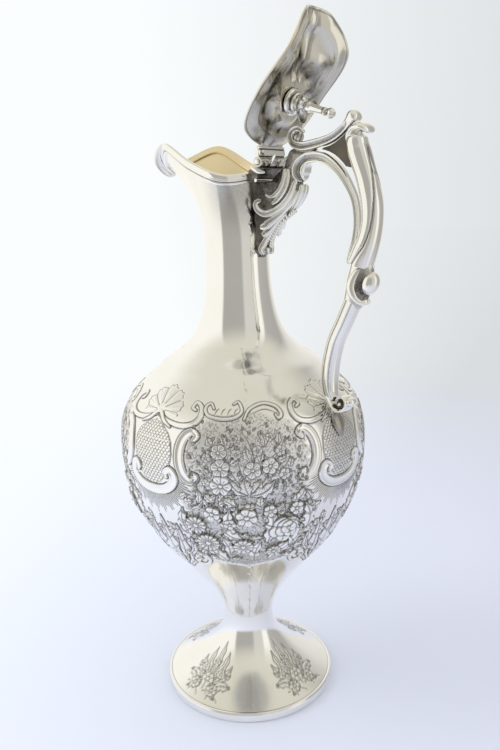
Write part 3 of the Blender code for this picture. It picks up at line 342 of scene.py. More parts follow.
# surroundings: reflections see walls of changing grey under a cream ceiling, the floor is lit evenly
def makeWorld():
    world = bpy.data.worlds.new("studio")
    bpy.context.scene.world = world
    world.use_nodes = True
    nodes, links = world.node_tree.nodes, world.node_tree.links
    place = nodes.new("ShaderNodeTexCoord")
    direction = place.outputs["Generated"]

    # one mix of two colours, each a tuple or a socket
    def blend(kind, factor, first, second):
        node = nodes.new("ShaderNodeMix")
        node.data_type = "RGBA"
        node.blend_type = kind
        given = ((node.inputs["Factor"], factor), (node.inputs[6], first), (node.inputs[7], second))
        for slotIn, value in given:
            if isinstance(value, tuple):
                slotIn.default_value = (*value, 1)
            elif isinstance(value, float):
                slotIn.default_value = value
            else:
                links.new(value, slotIn)
        return node.outputs[2]

    turn = nodes.new("ShaderNodeVectorRotate")  # puts the viewer's side on +X
    turn.rotation_type = "Z_AXIS"
    turn.inputs["Angle"].default_value = math.radians(studio["viewerSide"])
    links.new(direction, turn.inputs["Vector"])
    parts, around = nodes.new("ShaderNodeSeparateXYZ"), nodes.new("ShaderNodeMath")
    links.new(turn.outputs["Vector"], parts.inputs["Vector"])
    around.operation = "ARCTAN2"
    links.new(parts.outputs["Y"], around.inputs[0])
    links.new(parts.outputs["X"], around.inputs[1])
    share = nodes.new("ShaderNodeMapRange")
    share.inputs["From Min"].default_value = -math.pi
    share.inputs["From Max"].default_value = math.pi
    links.new(around.outputs[0], share.inputs["Value"])
    walls = nodes.new("ShaderNodeValToRGB")
    marks = walls.color_ramp.elements
    for k, (angle, grey) in enumerate(studio["walls"]):
        where = (angle + 180) / 360
        mark = marks[0] if k == 0 else (marks[-1] if k == len(studio["walls"]) - 1 else marks.new(where))
        mark.position, mark.color = where, (grey, grey, grey, 1)
    links.new(share.outputs["Result"], walls.inputs["Fac"])
    up = nodes.new("ShaderNodeMapRange")
    up.interpolation_type = "SMOOTHSTEP"
    up.inputs["From Min"].default_value = 0.45
    up.inputs["From Max"].default_value = 0.92
    links.new(parts.outputs["Z"], up.inputs["Value"])
    room = blend("MULTIPLY", 1.0, walls.outputs["Color"], studio["wallTint"])
    room = blend("MIX", up.outputs["Result"], room, studio["ceilingTone"])
    path = nodes.new("ShaderNodeLightPath")
    tone = blend("MIX", path.outputs["Is Glossy Ray"], studio["fillTone"], room)
    # the camera sees a backdrop that darkens from left to right, a painted falloff of light
    behind = sideTone(nodes, links, direction, -0.45, 0.12, ("rightTone", "leftTone"))
    links.new(blend("MIX", path.outputs["Is Camera Ray"], tone, behind), nodes["Background"].inputs["Color"])


# round area lamp that looks from its place at a target and stays out of reflections
def makeLamp(name, place, target, size, power):
    lamp = bpy.data.lights.new(name, "AREA")
    lamp.shape = "DISK"
    lamp.size, lamp.energy = size, power
    made = bpy.data.objects.new(name, lamp)
    bpy.context.scene.collection.objects.link(made)
    made.visible_glossy = False
    back = unit(np.array(place, float) - np.array(target, float))
    side = unit(np.cross((0.0, 0.0, 1.0), back))
    turn = np.column_stack((side, np.cross(back, side), back))
    made.matrix_world = Matrix.Translation(place) @ Matrix(turn.tolist()).to_4x4()


view = {
    "place": (0.26366, -0.28274, 0.2778),
    "azimuth": 47.0,
    "pitch": 13.48,
    "roll": -1.61,
    "yaw": 0.72,
    "focal": 711.8,
    "imageHeight": 750.0,
}


# camera with the photograph's height, tilt and field of view
def makeCamera():
    pitch, roll, yaw, azimuth = (math.radians(view[k]) for k in ("pitch", "roll", "yaw", "azimuth"))
    ahead = np.array((math.sin(yaw) * math.cos(pitch), math.cos(yaw) * math.cos(pitch), -math.sin(pitch)))
    side = np.array((math.cos(yaw), -math.sin(yaw), 0.0))
    upward = np.cross(side, ahead)
    side, upward = (
        math.cos(roll) * side + math.sin(roll) * upward,
        -math.sin(roll) * side + math.cos(roll) * upward,
    )
    toPart = np.array((
        (math.sin(azimuth), -math.cos(azimuth), 0.0),
        (math.cos(azimuth), math.sin(azimuth), 0.0),
        (0.0, 0.0, 1.0),
    ))
    turn = toPart @ np.column_stack((side, upward, -ahead))
    lens = bpy.data.cameras.new("camera")
    lens.sensor_width = lens.sensor_height = 36.0
    lens.lens = view["focal"] * 36.0 / view["imageHeight"]
    lens.clip_start = 0.01
    made = bpy.data.objects.new("camera", lens)
    bpy.context.scene.collection.objects.link(made)
    made.matrix_world = Matrix.Translation(view["place"]) @ Matrix(turn.tolist()).to_4x4()
    bpy.context.scene.camera = made


makeFloor()
makeWorld()
makeLamp("windowLamp", (-0.9, -0.9, 1.3), (0, 0, 0.15), 0.9, 5.0)
makeCamera()
bpy.context.scene.view_settings.view_transform = "Standard"
print("studio done")

# bowl: turned outline with chased ornament

bodyShape = {
    "stemRadius": 14.4, "stemZ": 40.0, "stemReach": 29.2,
    "bellyRadius": 68.2, "bellyZ": 151.0, "bellyDown": 58.0, "bellyUp": 27.5,
    "shoulderRadius": 43.8, "shoulderZ": 194.1, "shoulderDown": 17.4, "shoulderUp": 13.5,
    "neckRadius": 17.0, "neckZ": 255.0, "neckReach": 54.5, "seamZ": 206.0, "wall": 1.0,
}


# (radius, height) line of stem, belly, shoulder and neck: three cubic spans, the middle joint at 45 degrees
def bodyLine(count):
    b = bodyShape
    lean = np.array((-1.0, 1.0)) / math.sqrt(2)
    shoulder = np.array((b["shoulderRadius"], b["shoulderZ"]))
    low, belly = (b["stemRadius"], b["stemZ"]), (b["bellyRadius"], b["bellyZ"])
    top = (b["neckRadius"], b["neckZ"])
    spans = (
        bezier(low, (low[0], low[1] + b["stemReach"]), (belly[0], belly[1] - b["bellyDown"]), belly, count),
        bezier(belly, (belly[0], belly[1] + b["bellyUp"]), shoulder - b["shoulderDown"] * lean, shoulder,
               count),
        bezier(shoulder, shoulder + b["shoulderUp"] * lean, (top[0], top[1] - b["neckReach"]), top, count),
    )
    return np.vstack((spans[0], spans[1][1:], spans[2][1:]))


bodyFine = bodyLine(300)


# heights in mm to radius and to the outward direction of the outline there
def onBody(z):
    r = np.interp(z, bodyFine[:, 1], bodyFine[:, 0])
    slope = np.gradient(bodyFine, axis=0)
    along = unit(np.column_stack([np.interp(z, bodyFine[:, 1], slope[:, k]) for k in (0, 1)]))
    return r, along[:, 1], -along[:, 0]


# a flat drawing plane for a turned surface: across is angle times a fixed radius, climb is the integral
# of that radius over the real one along the outline, so small shapes keep their form
def drawingPlane(line, reference):
    step = np.linalg.norm(np.diff(line, axis=0), axis=1)
    middle = (line[1:, 0] + line[:-1, 0]) / 2
    return np.concatenate(((0.0,), np.cumsum(step * reference / middle)))


# blank drawing over climb and across, which repeats after a period: height, tarnish and matting
def newPlate(climb, across, period, shape):
    plate = {"climb": climb, "across": across, "period": period}
    for title in ("cutDepth", "cutDark"):
        plate[title] = shape[title]
    for layer in ("height", "dark", "matte"):
        plate[layer] = np.zeros((len(climb), len(across)))
    return plate


# lays a drawn shape on the plate: paint gives cover, height and cut lines for a block of the plane
def stamp(plate, low, high, paint):
    for shift in (-plate["period"], 0.0, plate["period"]):
        rows = slice(*np.searchsorted(plate["climb"], (low[1], high[1])))
        cols = slice(*np.searchsorted(plate["across"], (low[0] + shift, high[0] + shift)))
        if rows.start >= rows.stop or cols.start >= cols.stop:
            continue
        cover, height, cut = paint(plate["across"][None, cols] - shift, plate["climb"][rows, None])
        old = plate["height"][rows, cols]
        plate["height"][rows, cols] = old + (height - old) * cover - cut * plate["cutDepth"]
        plate["dark"][rows, cols] = np.maximum(plate["dark"][rows, cols] * (1 - cover),
                                               cut * plate["cutDark"])
        plate["matte"][rows, cols] *= 1 - cover


# distance to a line of points, and the share of the way along it
def nearLine(x, y, line):
    shape = np.broadcast(x, y).shape
    best, share = np.full(shape, 1e9), np.zeros(shape)
    for k in range(len(line) - 1):
        a, b = line[k], line[k + 1] - line[k]
        t = np.clip(((x - a[0]) * b[0] + (y - a[1]) * b[1]) / max(b @ b, 1e-9), 0, 1)
        d = np.hypot(x - a[0] - t * b[0], y - a[1] - t * b[1])
        share = np.where(d < best, (k + t) / (len(line) - 1), share)
        best = np.minimum(best, d)
    return best, share


# raised band along a line, with a soft hollow down its middle and a cut line round it
def band(plate, points, widths, tall=0.8, hollow=0.35, line=0.28):
    path = through(points, 44)
    wide = max(widths) + 1.5

    def paint(x, y):
        d, share = nearLine(x, y, path)
        half = np.interp(share, np.linspace(0, 1, len(widths)), widths)
        q = d / half
        height = tall * np.sqrt(np.clip(1 - q**4, 0, 1)) * (1 - hollow * np.clip(1 - 1.6 * q * q, 0, 1))
        return 1 - ease(q, 0.94, 1.06), height, np.exp(-(((d - 1.05 * half) / line) ** 2))

    stamp(plate, path.min(axis=0) - wide, path.max(axis=0) + wide, paint)


# cut line that swells and fades along its way
def engrave(plate, points, width=0.3, strength=1.0):
    path = through(points, 30)

    def paint(x, y):
        d, share = nearLine(x, y, path)
        fade = np.sin(np.pi * np.clip(share * 0.94 + 0.03, 0, 1)) ** 0.4
        return 0 * d, 0 * d, strength * fade * np.exp(-((d / (width * (0.5 + 0.5 * fade))) ** 2))

    stamp(plate, path.min(axis=0) - 2, path.max(axis=0) + 2, paint)


# flower: petals about a domed boss, cut between the petals, down each one, round the boss and at the edge
def flower(plate, place, radius, petals, turn=0.0, tall=0.8, boss=0.28):
    cx, cy = place

    def paint(x, y):
        rho = np.hypot(x - cx, y - cy) + 1e-6
        fold = np.abs(np.cos((np.arctan2(y - cy, x - cx) + turn) * petals / 2))
        edge = radius * (0.76 + 0.24 * fold**0.6)
        q = rho / edge
        core = np.clip(1 - (rho / (boss * radius)) ** 2, 0, 1)
        height = tall * (0.45 + 0.55 * fold**0.35 * np.clip(1 - (1.5 * q - 0.95) ** 4, 0, 1))
        height = np.where(core > 0, tall * (0.7 + 0.5 * np.sqrt(core)), height)
        line = 0.17 + 0.022 * radius
        gap = np.exp(-((rho * fold * 2 / petals / line) ** 2))
        gap = gap * ease(rho, boss * radius, boss * radius * 1.4)
        ring = np.exp(-(((rho - 1.08 * boss * radius) / line) ** 2))
        rim = np.exp(-(((rho - edge) / line) ** 2))
        across = np.sqrt(np.clip(1 - fold**2, 0, 1))
        vein = np.exp(-((rho * across * 2 / petals / (0.55 * line)) ** 2))
        vein = vein * (rho > 1.5 * boss * radius) * (q < 0.7)
        return 1 - ease(q, 0.97, 1.05), height, np.maximum.reduce((0.85 * gap, 0.7 * vein, ring, rim))

    reach = 1.2 * radius + 1
    stamp(plate, (cx - reach, cy - reach), (cx + reach, cy + reach), paint)


# leaf: width rises and falls along a bowed axis, scalloped by lobes, with a midrib and slanting veins cut in
def leaf(plate, base, tip, width, bend=0.0, lobes=0, tall=0.55, veins=1.3):
    base, tip = np.array(base, float), np.array(tip, float)
    length = np.hypot(*(tip - base))
    along = (tip - base) / length

    def paint(x, y):
        t = ((x - base[0]) * along[0] + (y - base[1]) * along[1]) / length
        span = np.clip(t, 0, 1)
        d = (y - base[1]) * along[0] - (x - base[0]) * along[1] - bend * length * np.sin(np.pi * span)
        half = width * np.sin(np.pi * span**0.75) ** 0.85 + 1e-6
        if lobes:
            half = half * (1 + 0.2 * np.cos(2 * np.pi * lobes * span))
        inside = (t > 0) & (t < 1)
        q = np.where(inside, np.abs(d) / half, 9)
        height = tall * (1 - 0.8 * np.clip(q, 0, 1) ** 2) * (0.5 + 0.5 * np.sin(np.pi * span))
        cover = 1 - ease(q, 0.93, 1.06)
        line = 0.2 + 0.045 * width
        rim = np.exp(-(((np.abs(d) - half) / line) ** 2)) * inside
        rib = np.exp(-((d / line) ** 2)) * cover * (span < 0.92)
        slant = np.cos(2 * np.pi * (span * length - 0.9 * np.abs(d)) / veins)
        vein = np.clip(slant - 0.72, 0, 1) * 2.2 * cover * (q < 0.9)
        return cover, height, np.maximum(np.maximum(rim, 0.9 * rib), vein)

    reach = width * 1.4 + abs(bend) * length + 1
    stamp(plate, np.minimum(base, tip) - reach, np.maximum(base, tip) + reach, paint)


# overlapping scales inside a shield: each row of discs lies over the row below it
def scales(plate, centre, halfWidths, pitch=2.1, rise=1.4):
    heights, halves = np.array(halfWidths, float).T

    def paint(x, y):
        x, y = np.broadcast_arrays(x, y)
        inside = np.interp(y, heights, halves, left=0, right=0) - np.abs(x - centre)
        cover = ease(inside, 0.0, 0.5)
        row0 = np.floor(y / rise)
        height, cut, done = np.zeros(x.shape), np.zeros(x.shape), np.zeros(x.shape, bool)
        for k in (2, 1, 0, -1):
            row = row0 + k
            shift = 0.5 * np.mod(row, 2)
            dx = (x - centre) / pitch - shift
            dx = (dx - np.round(dx)) * pitch
            d = np.hypot(dx, y - row * rise) / (0.56 * pitch)
            here = (d < 1) & ~done & (y <= row * rise + 0.2)
            height = np.where(here, 0.12 + 0.3 * d * d, height)
            cut = np.where(here, np.clip((d - 0.62) * 3.4, 0, 1), cut)
            done |= here
        rim = np.exp(-((inside / 0.3) ** 2))
        return cover, height, np.maximum(cut * cover, 0.8 * rim)

    reach = halves.max() + 1
    stamp(plate, (centre - reach, heights[0] - 1), (centre + reach, heights[-1] + 1), paint)


# fine cuts that fan out from a centre between two distances
def rays(plate, centre, inner, outer, facing, spread, count):
    def paint(x, y):
        dx, dy = x - centre[0], y - centre[1]
        rho = np.hypot(dx, dy) + 1e-6
        angle = np.mod(np.arctan2(dy, dx) - facing + np.pi, 2 * np.pi) - np.pi
        wave = angle / spread * count
        off = np.abs(wave - np.round(wave)) / count * spread * rho
        uneven = outer - (outer - inner) * 0.35 * np.abs(np.sin(np.round(wave) * 2.4))
        inside = ease(rho, inner, inner + 0.8) * (1 - ease(rho, uneven - 1.5, uneven))
        inside = inside * (np.abs(angle) < spread)
        return 0 * rho, 0 * rho, 0.9 * inside * np.exp(-((off / 0.26) ** 2))

    stamp(plate, (centre[0] - outer, centre[1] - outer), (centre[0] + outer, centre[1] + outer), paint)


# shell leaf: a lobed fan with ribs cut in from its root
def shell(plate, root, radius, lobes=4, tall=0.18):
    def paint(x, y):
        dx, dy = x - root[0], y - root[1]
        rho = np.hypot(dx, dy) + 1e-6
        angle = np.arctan2(dx, dy)
        fold = np.abs(np.cos(angle * lobes))
        edge = radius * (0.78 + 0.22 * fold**0.5) * (1 - 0.16 * np.abs(angle))
        edge = edge * (1 + 0.03 * np.sin(angle * 31))
        q = np.where(np.abs(angle) < 1.75, rho / edge, 9)
        rib = np.exp(-((rho * fold / lobes / 0.2) ** 2)) * (q > 0.25) * (q < 1)
        fine = np.clip(np.cos(angle * lobes * 6) - 0.75, 0, 1) * 2.2 * (q > 0.55) * (q < 0.9)
        rim = np.exp(-(((rho - edge) / 0.24) ** 2)) * (np.abs(angle) < 1.75)
        height = tall * (0.3 + 0.7 * fold) * np.clip(1.2 - q, 0, 1)
        return 1 - ease(q, 0.94, 1.04), height, np.maximum(np.maximum(0.8 * rib, rim), 0.5 * fine)

    stamp(plate, (root[0] - radius - 1, root[1] - radius), (root[0] + radius + 1, root[1] + radius + 1),
          paint)


# drawing of one quarter: rows of the grid from stem to low, to middle, to high and to the seam
panel = {
    "columns": 301, "rows": (20, 242, 246, 10), "low": 82.0, "middle": 141.0, "high": 199.0,
    "reference": 64.0, "corner": 45.0, "cutDepth": 0.38, "cutDark": 0.95, "seed": 11, "liningFrom": 44,
}
bodyClimb = drawingPlane(bodyFine, panel["reference"])


# height in mm to climb on the drawing plane
def climbAt(z):
    return np.interp(z, bodyFine[:, 1], bodyClimb)


# (degrees from the panel's middle, height in mm) to the drawing plane
def spot(a, z):
    return np.array((math.radians(a) * panel["reference"], float(climbAt(z))))


# several such places at once
def spots(points):
    return np.array([spot(a, z) for a, z in points])


# places counted from the panel's middle
def asDrawn(points):
    return points


# the same, turned left for right
def mirrored(points):
    return [(-a, *rest) for a, *rest in points]


# places counted from the shield's middle
def aboutShield(points):
    return [(panel["corner"] + a, h) for a, h in points]


# punched ground: half width in degrees by height, depth and tone
ground = {
    "halfWidth": [(94, 0), (98, 20), (103, 27), (108, 29), (118, 31), (128, 30), (136, 29), (142, 26.5),
                  (150, 26), (160, 28), (170, 25), (176, 19), (180, 8), (182, 0)],
    "deeperBelow": (132.0, 146.0), "depth": 0.2, "lowDepth": 0.5,
    "tone": 0.10, "lowTone": 0.16, "stripTone": 0.12, "stripZ": 140.0, "stripWide": 7.0, "pitTone": 0.5,
}


# ground: sunk and matted inside a wavering edge, darker low down, with random pits two grid steps wide
def sinkGround(plate, chance):
    g = ground
    degrees = np.degrees(plate["across"] / panel["reference"])[None, :]
    z = np.interp(plate["climb"], bodyClimb, bodyFine[:, 1])[:, None]
    halfWidth = np.interp(z, *np.array(g["halfWidth"], float).T)
    halfWidth = halfWidth + 1.2 * np.sin(z * 0.9 + np.sign(degrees)) + 0.8 * np.sin(z * 1.9)
    cover = 1 - ease(np.abs(degrees), halfWidth - 3.0, halfWidth + 1.0)
    low = 1 - ease(z, *g["deeperBelow"])
    plate["height"] -= (g["depth"] + g["lowDepth"] * low) * cover
    rows, cols = plate["height"].shape
    coarse = chance.uniform(0, 1, (rows // 2 + 1, cols // 2 + 1))
    pits = ease(np.repeat(np.repeat(coarse, 2, axis=0), 2, axis=1)[:rows, :cols], 0.62, 0.95)
    pits[:, 0], pits[:, -1] = pits[:, -3], pits[:, 2]
    strip = np.exp(-(((z - g["stripZ"]) / g["stripWide"]) ** 2))
    plate["dark"] += (g["tone"] + g["lowTone"] * low + g["stripTone"] * strip + g["pitTone"] * pits) * cover
    plate["matte"] += cover


# raised scrolls: line, half widths along it, height and hollow; foot and oval are counted from the shield
straps = {
    "top": {"line": [(44.0, 177.6), (38.0, 175.4), (31.0, 174.3), (25.0, 175.2), (21.8, 178.4),
                     (22.2, 182.4), (25.2, 184.2), (26.8, 182.2), (24.8, 181.2)],
            "widths": (1.0, 1.3, 1.5, 1.5, 1.3, 1.0, 0.8), "tall": 0.55, "hollow": 0.3},
    "side": {"line": [(23.4, 168.4), (22.2, 170.4), (24.5, 172.0), (27.5, 169.8), (29.4, 164.9),
                      (29.8, 158.4), (28.4, 152.2), (25.7, 148.9), (23.2, 148.7), (22.4, 150.6),
                      (23.8, 151.8)],
             "widths": (1.3, 1.9, 2.4, 2.5, 2.5, 2.4, 1.9, 1.3), "tall": 1.1, "hollow": 0.5},
    "foot": {"line": [(-8.6, 148.6), (-8.0, 150.6), (-10.2, 152.2), (-12.2, 149.8), (-11.6, 145.4),
                      (-7.0, 141.4), (0.0, 140.2), (7.0, 141.4), (11.6, 145.4), (12.2, 149.8),
                      (10.2, 152.2), (8.0, 150.6), (8.6, 148.6)],
             "widths": (1.2, 1.7, 2.3, 2.5, 2.5, 2.5, 2.3, 1.7, 1.2), "tall": 1.1, "hollow": 0.5},
    "gable": {"line": [(36.0, 173.0), (40.5, 175.4), (45.0, 179.0), (49.5, 175.4), (54.0, 173.0)],
              "widths": (0.6, 1.1, 1.3, 1.1, 0.6), "tall": 0.5, "hollow": 0.35},
    "hook": {"line": [(-15.8, 182.2), (-17.8, 184.2), (-20.2, 182.6), (-18.4, 179.6), (-12.0, 178.2),
                      (-5.6, 178.8), (-2.2, 181.4), (-3.8, 184.8), (-6.2, 184.0)],
             "widths": (0.7, 0.9, 1.0, 1.0, 0.9, 0.7), "tall": 0.4, "hollow": 0.25},
    "arch": {"line": [(-1.4, 178.0), (1.4, 182.0), (8.0, 184.0), (14.2, 182.4), (16.2, 179.2),
                      (14.4, 177.6), (13.4, 179.2)],
             "widths": (0.7, 1.0, 1.1, 1.0, 0.7), "tall": 0.4, "hollow": 0.25},
    "oval": {"line": [(10.5, 100.0), (14.5, 103.5), (19.5, 102.0), (21.0, 97.5), (17.5, 94.0), (12.5, 94.5),
                      (11.2, 97.4), (14.0, 99.2), (16.6, 98.2)],
             "widths": (0.9, 1.2, 1.5, 1.5, 1.3, 1.0, 0.7), "tall": 0.7, "hollow": 0.3},
}
shieldFill = {
    "scaleHalf": [(142.6, 0.5), (145.0, 5.5), (149.0, 9.0), (154.0, 11.6), (160.0, 12.8), (166.0, 12.2),
                  (170.0, 10.0), (173.5, 5.5), (175.0, 1.0)],
    "raysZ": 152.0, "raysReach": (13.0, 26.0), "raysSpread": 1.35, "raysCount": 24,
    "shellZ": 179.5, "shellRadius": 18.0, "shellLobes": 5, "shellTall": 0.25,
}
borderCuts = [[(0.5, 179.5), (8.0, 181.6), (14.0, 179.8)]]
borderNicks = [[(a, 179.6), (a + 0.6, 181.4), (a + 1.8, 182.2)] for a in (-15, -12, -9, -6)]


# one of the scrolls above, laid on the drawing
def strap(plate, name, place=asDrawn):
    s = straps[name]
    band(plate, spots(place(s["line"])), s["widths"], s["tall"], s["hollow"])


# frames: scrolls of the panel, scales and rays of the shield, its shell, and the border above
def chaseFrames(plate):
    f, corner = shieldFill, panel["corner"]
    for place in (asDrawn, mirrored):
        strap(plate, "top", place)
        strap(plate, "side", place)
    rays(plate, spot(corner, f["raysZ"]), *f["raysReach"], -math.pi / 2, f["raysSpread"], f["raysCount"])
    scales(plate, spot(corner, f["raysZ"])[0], [(climbAt(h), w) for h, w in f["scaleHalf"]])
    strap(plate, "foot", aboutShield)
    strap(plate, "gable")
    shell(plate, spot(corner, f["shellZ"]), f["shellRadius"], f["shellLobes"], f["shellTall"])
    strap(plate, "hook")
    strap(plate, "arch")
    for line in borderCuts:
        engrave(plate, spots(line), 0.25)
    for line in borderNicks:
        engrave(plate, spots(line), 0.3)


# posy in the panel: blossoms by place, radius, petals and turn; sprigs by base, tip, width and bend
posy = {
    "blossoms": [(-12.4, 163.4, 3.9, 5, 0.2), (-11.8, 155.6, 4.5, 5, 0.9), (-11.9, 146.8, 5.2, 6, 0.1),
                 (1.4, 154.6, 4.1, 5, 0.5), (8.6, 156.2, 4.0, 5, 1.2), (-5.2, 162.6, 2.4, 5, 0.4),
                 (3.6, 164.0, 2.4, 5, 0.0), (13.2, 163.2, 2.6, 5, 0.7), (-17.6, 160.6, 2.2, 5, 0.3),
                 (14.6, 151.6, 2.8, 5, 0.5), (-6.2, 169.6, 2.0, 5, 0.9), (9.0, 169.8, 2.0, 5, 0.2)],
    "sprigs": [((-1.0, 141.5), (-8.6, 151.4), 1.5, 0.12), ((0.0, 141.5), (4.8, 150.0), 2.2, -0.08),
               ((0.6, 141.5), (10.6, 149.0), 2.2, -0.14), ((-0.4, 142.0), (-2.2, 150.6), 2.0, 0.06),
               ((-15.6, 151.0), (-18.6, 155.8), 1.2, 0.1), ((-7.6, 157.6), (-3.6, 159.8), 1.2, 0.1),
               ((4.6, 158.6), (6.2, 163.6), 1.2, 0.1), ((11.8, 158.6), (15.8, 160.2), 1.2, -0.1),
               ((-9.4, 166.6), (-10.6, 171.4), 1.2, 0.1), ((-15.4, 166.4), (-17.2, 170.6), 1.2, 0.1),
               ((0.6, 159.2), (-1.4, 166.4), 1.3, 0.1), ((6.4, 165.4), (5.4, 172.4), 1.3, -0.1),
               ((12.8, 166.4), (13.6, 171.8), 1.2, 0.1), ((17.0, 154.6), (18.4, 159.4), 1.2, 0.1),
               ((-16.8, 146.6), (-18.8, 150.6), 1.4, 0.1)],
    "stems": [[(-1.0, 141.0), (-5.0, 149.0), (-8.6, 156.0), (-11.0, 163.0)],
              [(0.0, 141.0), (0.4, 150.0), (2.0, 160.0), (-1.0, 170.0), (-6.0, 175.0)],
              [(0.4, 141.0), (6.0, 149.0), (10.0, 158.0), (12.8, 164.0)],
              [(-0.6, 141.0), (-3.0, 152.0), (-5.4, 163.0), (-6.2, 170.0)]],
    "marks": 380, "marksSpread": 25, "marksTop": 177, "marksDrop": 42, "marksBunch": 0.75,
}


# posy: cut stems, a scatter of small leaves and cuts that thins out upwards, sprigs, then blossoms
def chasePosy(plate, chance):
    p = posy
    for line in p["stems"]:
        engrave(plate, spots(line), 0.35, 0.9)
    for k in range(p["marks"]):
        a = chance.uniform(-p["marksSpread"], p["marksSpread"])
        h = p["marksTop"] - p["marksDrop"] * chance.uniform(0, 1) ** p["marksBunch"]
        lean = chance.uniform(-0.9, 0.9)
        root = spot(a, h)
        tip = root + chance.uniform(1.6, 3.2) * np.array((math.sin(lean), math.cos(lean)))
        if k % 3 == 0:
            leaf(plate, root, tip, chance.uniform(0.5, 0.8), 0.1, 0, 0.15, 9.0)
        else:
            bent = [root, (root + tip) / 2 + 0.2, tip]
            engrave(plate, bent, chance.uniform(0.16, 0.40), chance.uniform(0.5, 1.0))
    for base, tip, width, bend in p["sprigs"]:
        leaf(plate, spot(*base), spot(*tip), width * 1.3, bend, 3, 0.35, 1.4)
    for a, h, radius, petals, turn in p["blossoms"]:
        flower(plate, spot(a, h), radius, petals, turn, 0.3, 0.2)


# garland below: leaves by base, tip, width, bend and lobes; flowers as in the posy; the bud is three in one
garland = {
    "leaves": [((45, 86), (45, 125), 5.0, 0.0, 2), ((44.5, 87), (36.0, 122), 4.6, 0.06, 2),
               ((45.5, 87), (54.0, 122), 4.6, -0.06, 2), ((44, 89), (29.5, 115), 4.2, 0.12, 2),
               ((46, 89), (60.5, 115), 4.2, -0.12, 2), ((10, 99), (29, 112), 3.6, 0.16, 4),
               ((-12, 99), (-30, 110), 3.4, -0.16, 4), ((27, 118), (24.5, 134.5), 3.4, -0.12, 4),
               ((-28.5, 116), (-30, 133.5), 3.2, 0.1, 4), ((-9, 116), (-8.5, 135.0), 3.4, 0.08, 4),
               ((8, 112), (9, 135.6), 3.4, -0.06, 4), ((2, 99), (6, 116), 3.0, 0.08, 3),
               ((-4, 116), (-13, 124), 2.8, 0.12, 3), ((20, 108), (27.5, 118), 3.0, 0.12, 3),
               ((-10.5, 104), (-14, 118), 2.8, -0.1, 3)],
    "flowers": [(-1.6, 129.4, 5.4, 6, 0.3), (8.4, 132.6, 3.4, 5, 0.1), (-24.8, 123.6, 5.6, 12, 0.1),
                (-16.4, 131.4, 4.2, 5, 0.6), (-20.6, 112.6, 6.6, 14, 0.2), (-3.6, 110.6, 5.8, 11, 0.4),
                (20.4, 132.2, 3.8, 5, 0.5), (-9.0, 125.6, 3.2, 5, 0.2), (12.0, 106.2, 4.4, 9, 0.3)],
    "berries": [(36.0, 101.5), (40.5, 98.6), (49.5, 98.6), (54.0, 101.5), (-28.0, 102.6), (-20.0, 101.6),
                (20.5, 101.0), (28.0, 103.2)],
    "bud": (15.8, 120.8), "budRings": [(8.6, 5, 0.4), (6.3, 4, 1.0), (4.2, 3, 0.2)],
    "filling": 120, "fillingZ": (100, 138, 120), "shieldFrom": 31,
}


# garland: a scatter of leaves that stays low under the shields, then leaves, ovals, berries,
# flowers and the bud
def chaseGarland(plate, chance):
    g = garland
    bottom, top, topByShield = g["fillingZ"]
    for k in range(g["filling"]):
        a, lean = chance.uniform(-45, 45), chance.uniform(-1.6, 1.6)
        h = chance.uniform(bottom, top if abs(a) < g["shieldFrom"] else topByShield)
        root = spot(a, h)
        tip = root + chance.uniform(4.5, 8.0) * np.array((math.sin(lean), math.cos(lean)))
        leaf(plate, root, tip, chance.uniform(1.3, 2.3), chance.uniform(-0.2, 0.2), 3, 0.6, 2.2)
    for base, tip, width, bend, lobes in g["leaves"]:
        leaf(plate, spot(*base), spot(*tip), width, bend, lobes, 1.1, 9.0)
    for side in (asDrawn, mirrored):
        strap(plate, "oval", lambda points: aboutShield(side(points)))
    for a, h in g["berries"]:
        flower(plate, spot(a, h), 2.6, 2, 0.4, 0.8, 0.55)
    for a, h, radius, petals, turn in g["flowers"]:
        flower(plate, spot(a, h), radius, petals, turn, 1.0, 0.24)
    widest = g["budRings"][0][0]
    for radius, petals, turn in g["budRings"]:
        place = spot(*g["bud"]) + np.array((0.3, 0.4)) * (widest - radius)
        flower(plate, place, radius, petals, turn, 1.6 + 0.1 * (widest - radius), 0.2)


# one quarter of the bowl as a drawing, one column wider on each side so that the edges' slopes agree
def chaseQuarter():
    p = panel
    bounds = [climbAt(z) for z in (bodyShape["stemZ"], p["low"], p["middle"], p["high"], bodyShape["seamZ"])]
    spans = [np.linspace(low, high, count, endpoint=False)
             for low, high, count in zip(bounds[:-1], bounds[1:], p["rows"])]
    climb = np.concatenate(spans + [bounds[-1:]])
    quarter = math.pi / 2 * p["reference"]
    step = quarter / (p["columns"] - 1)
    across = (np.arange(p["columns"] + 2) - 1) * step - quarter / 2
    plate = newPlate(climb, across, quarter, p)
    chance = np.random.default_rng(p["seed"])
    sinkGround(plate, chance)
    chaseFrames(plate)
    chasePosy(plate, chance)
    chaseGarland(plate, chance)
    return plate


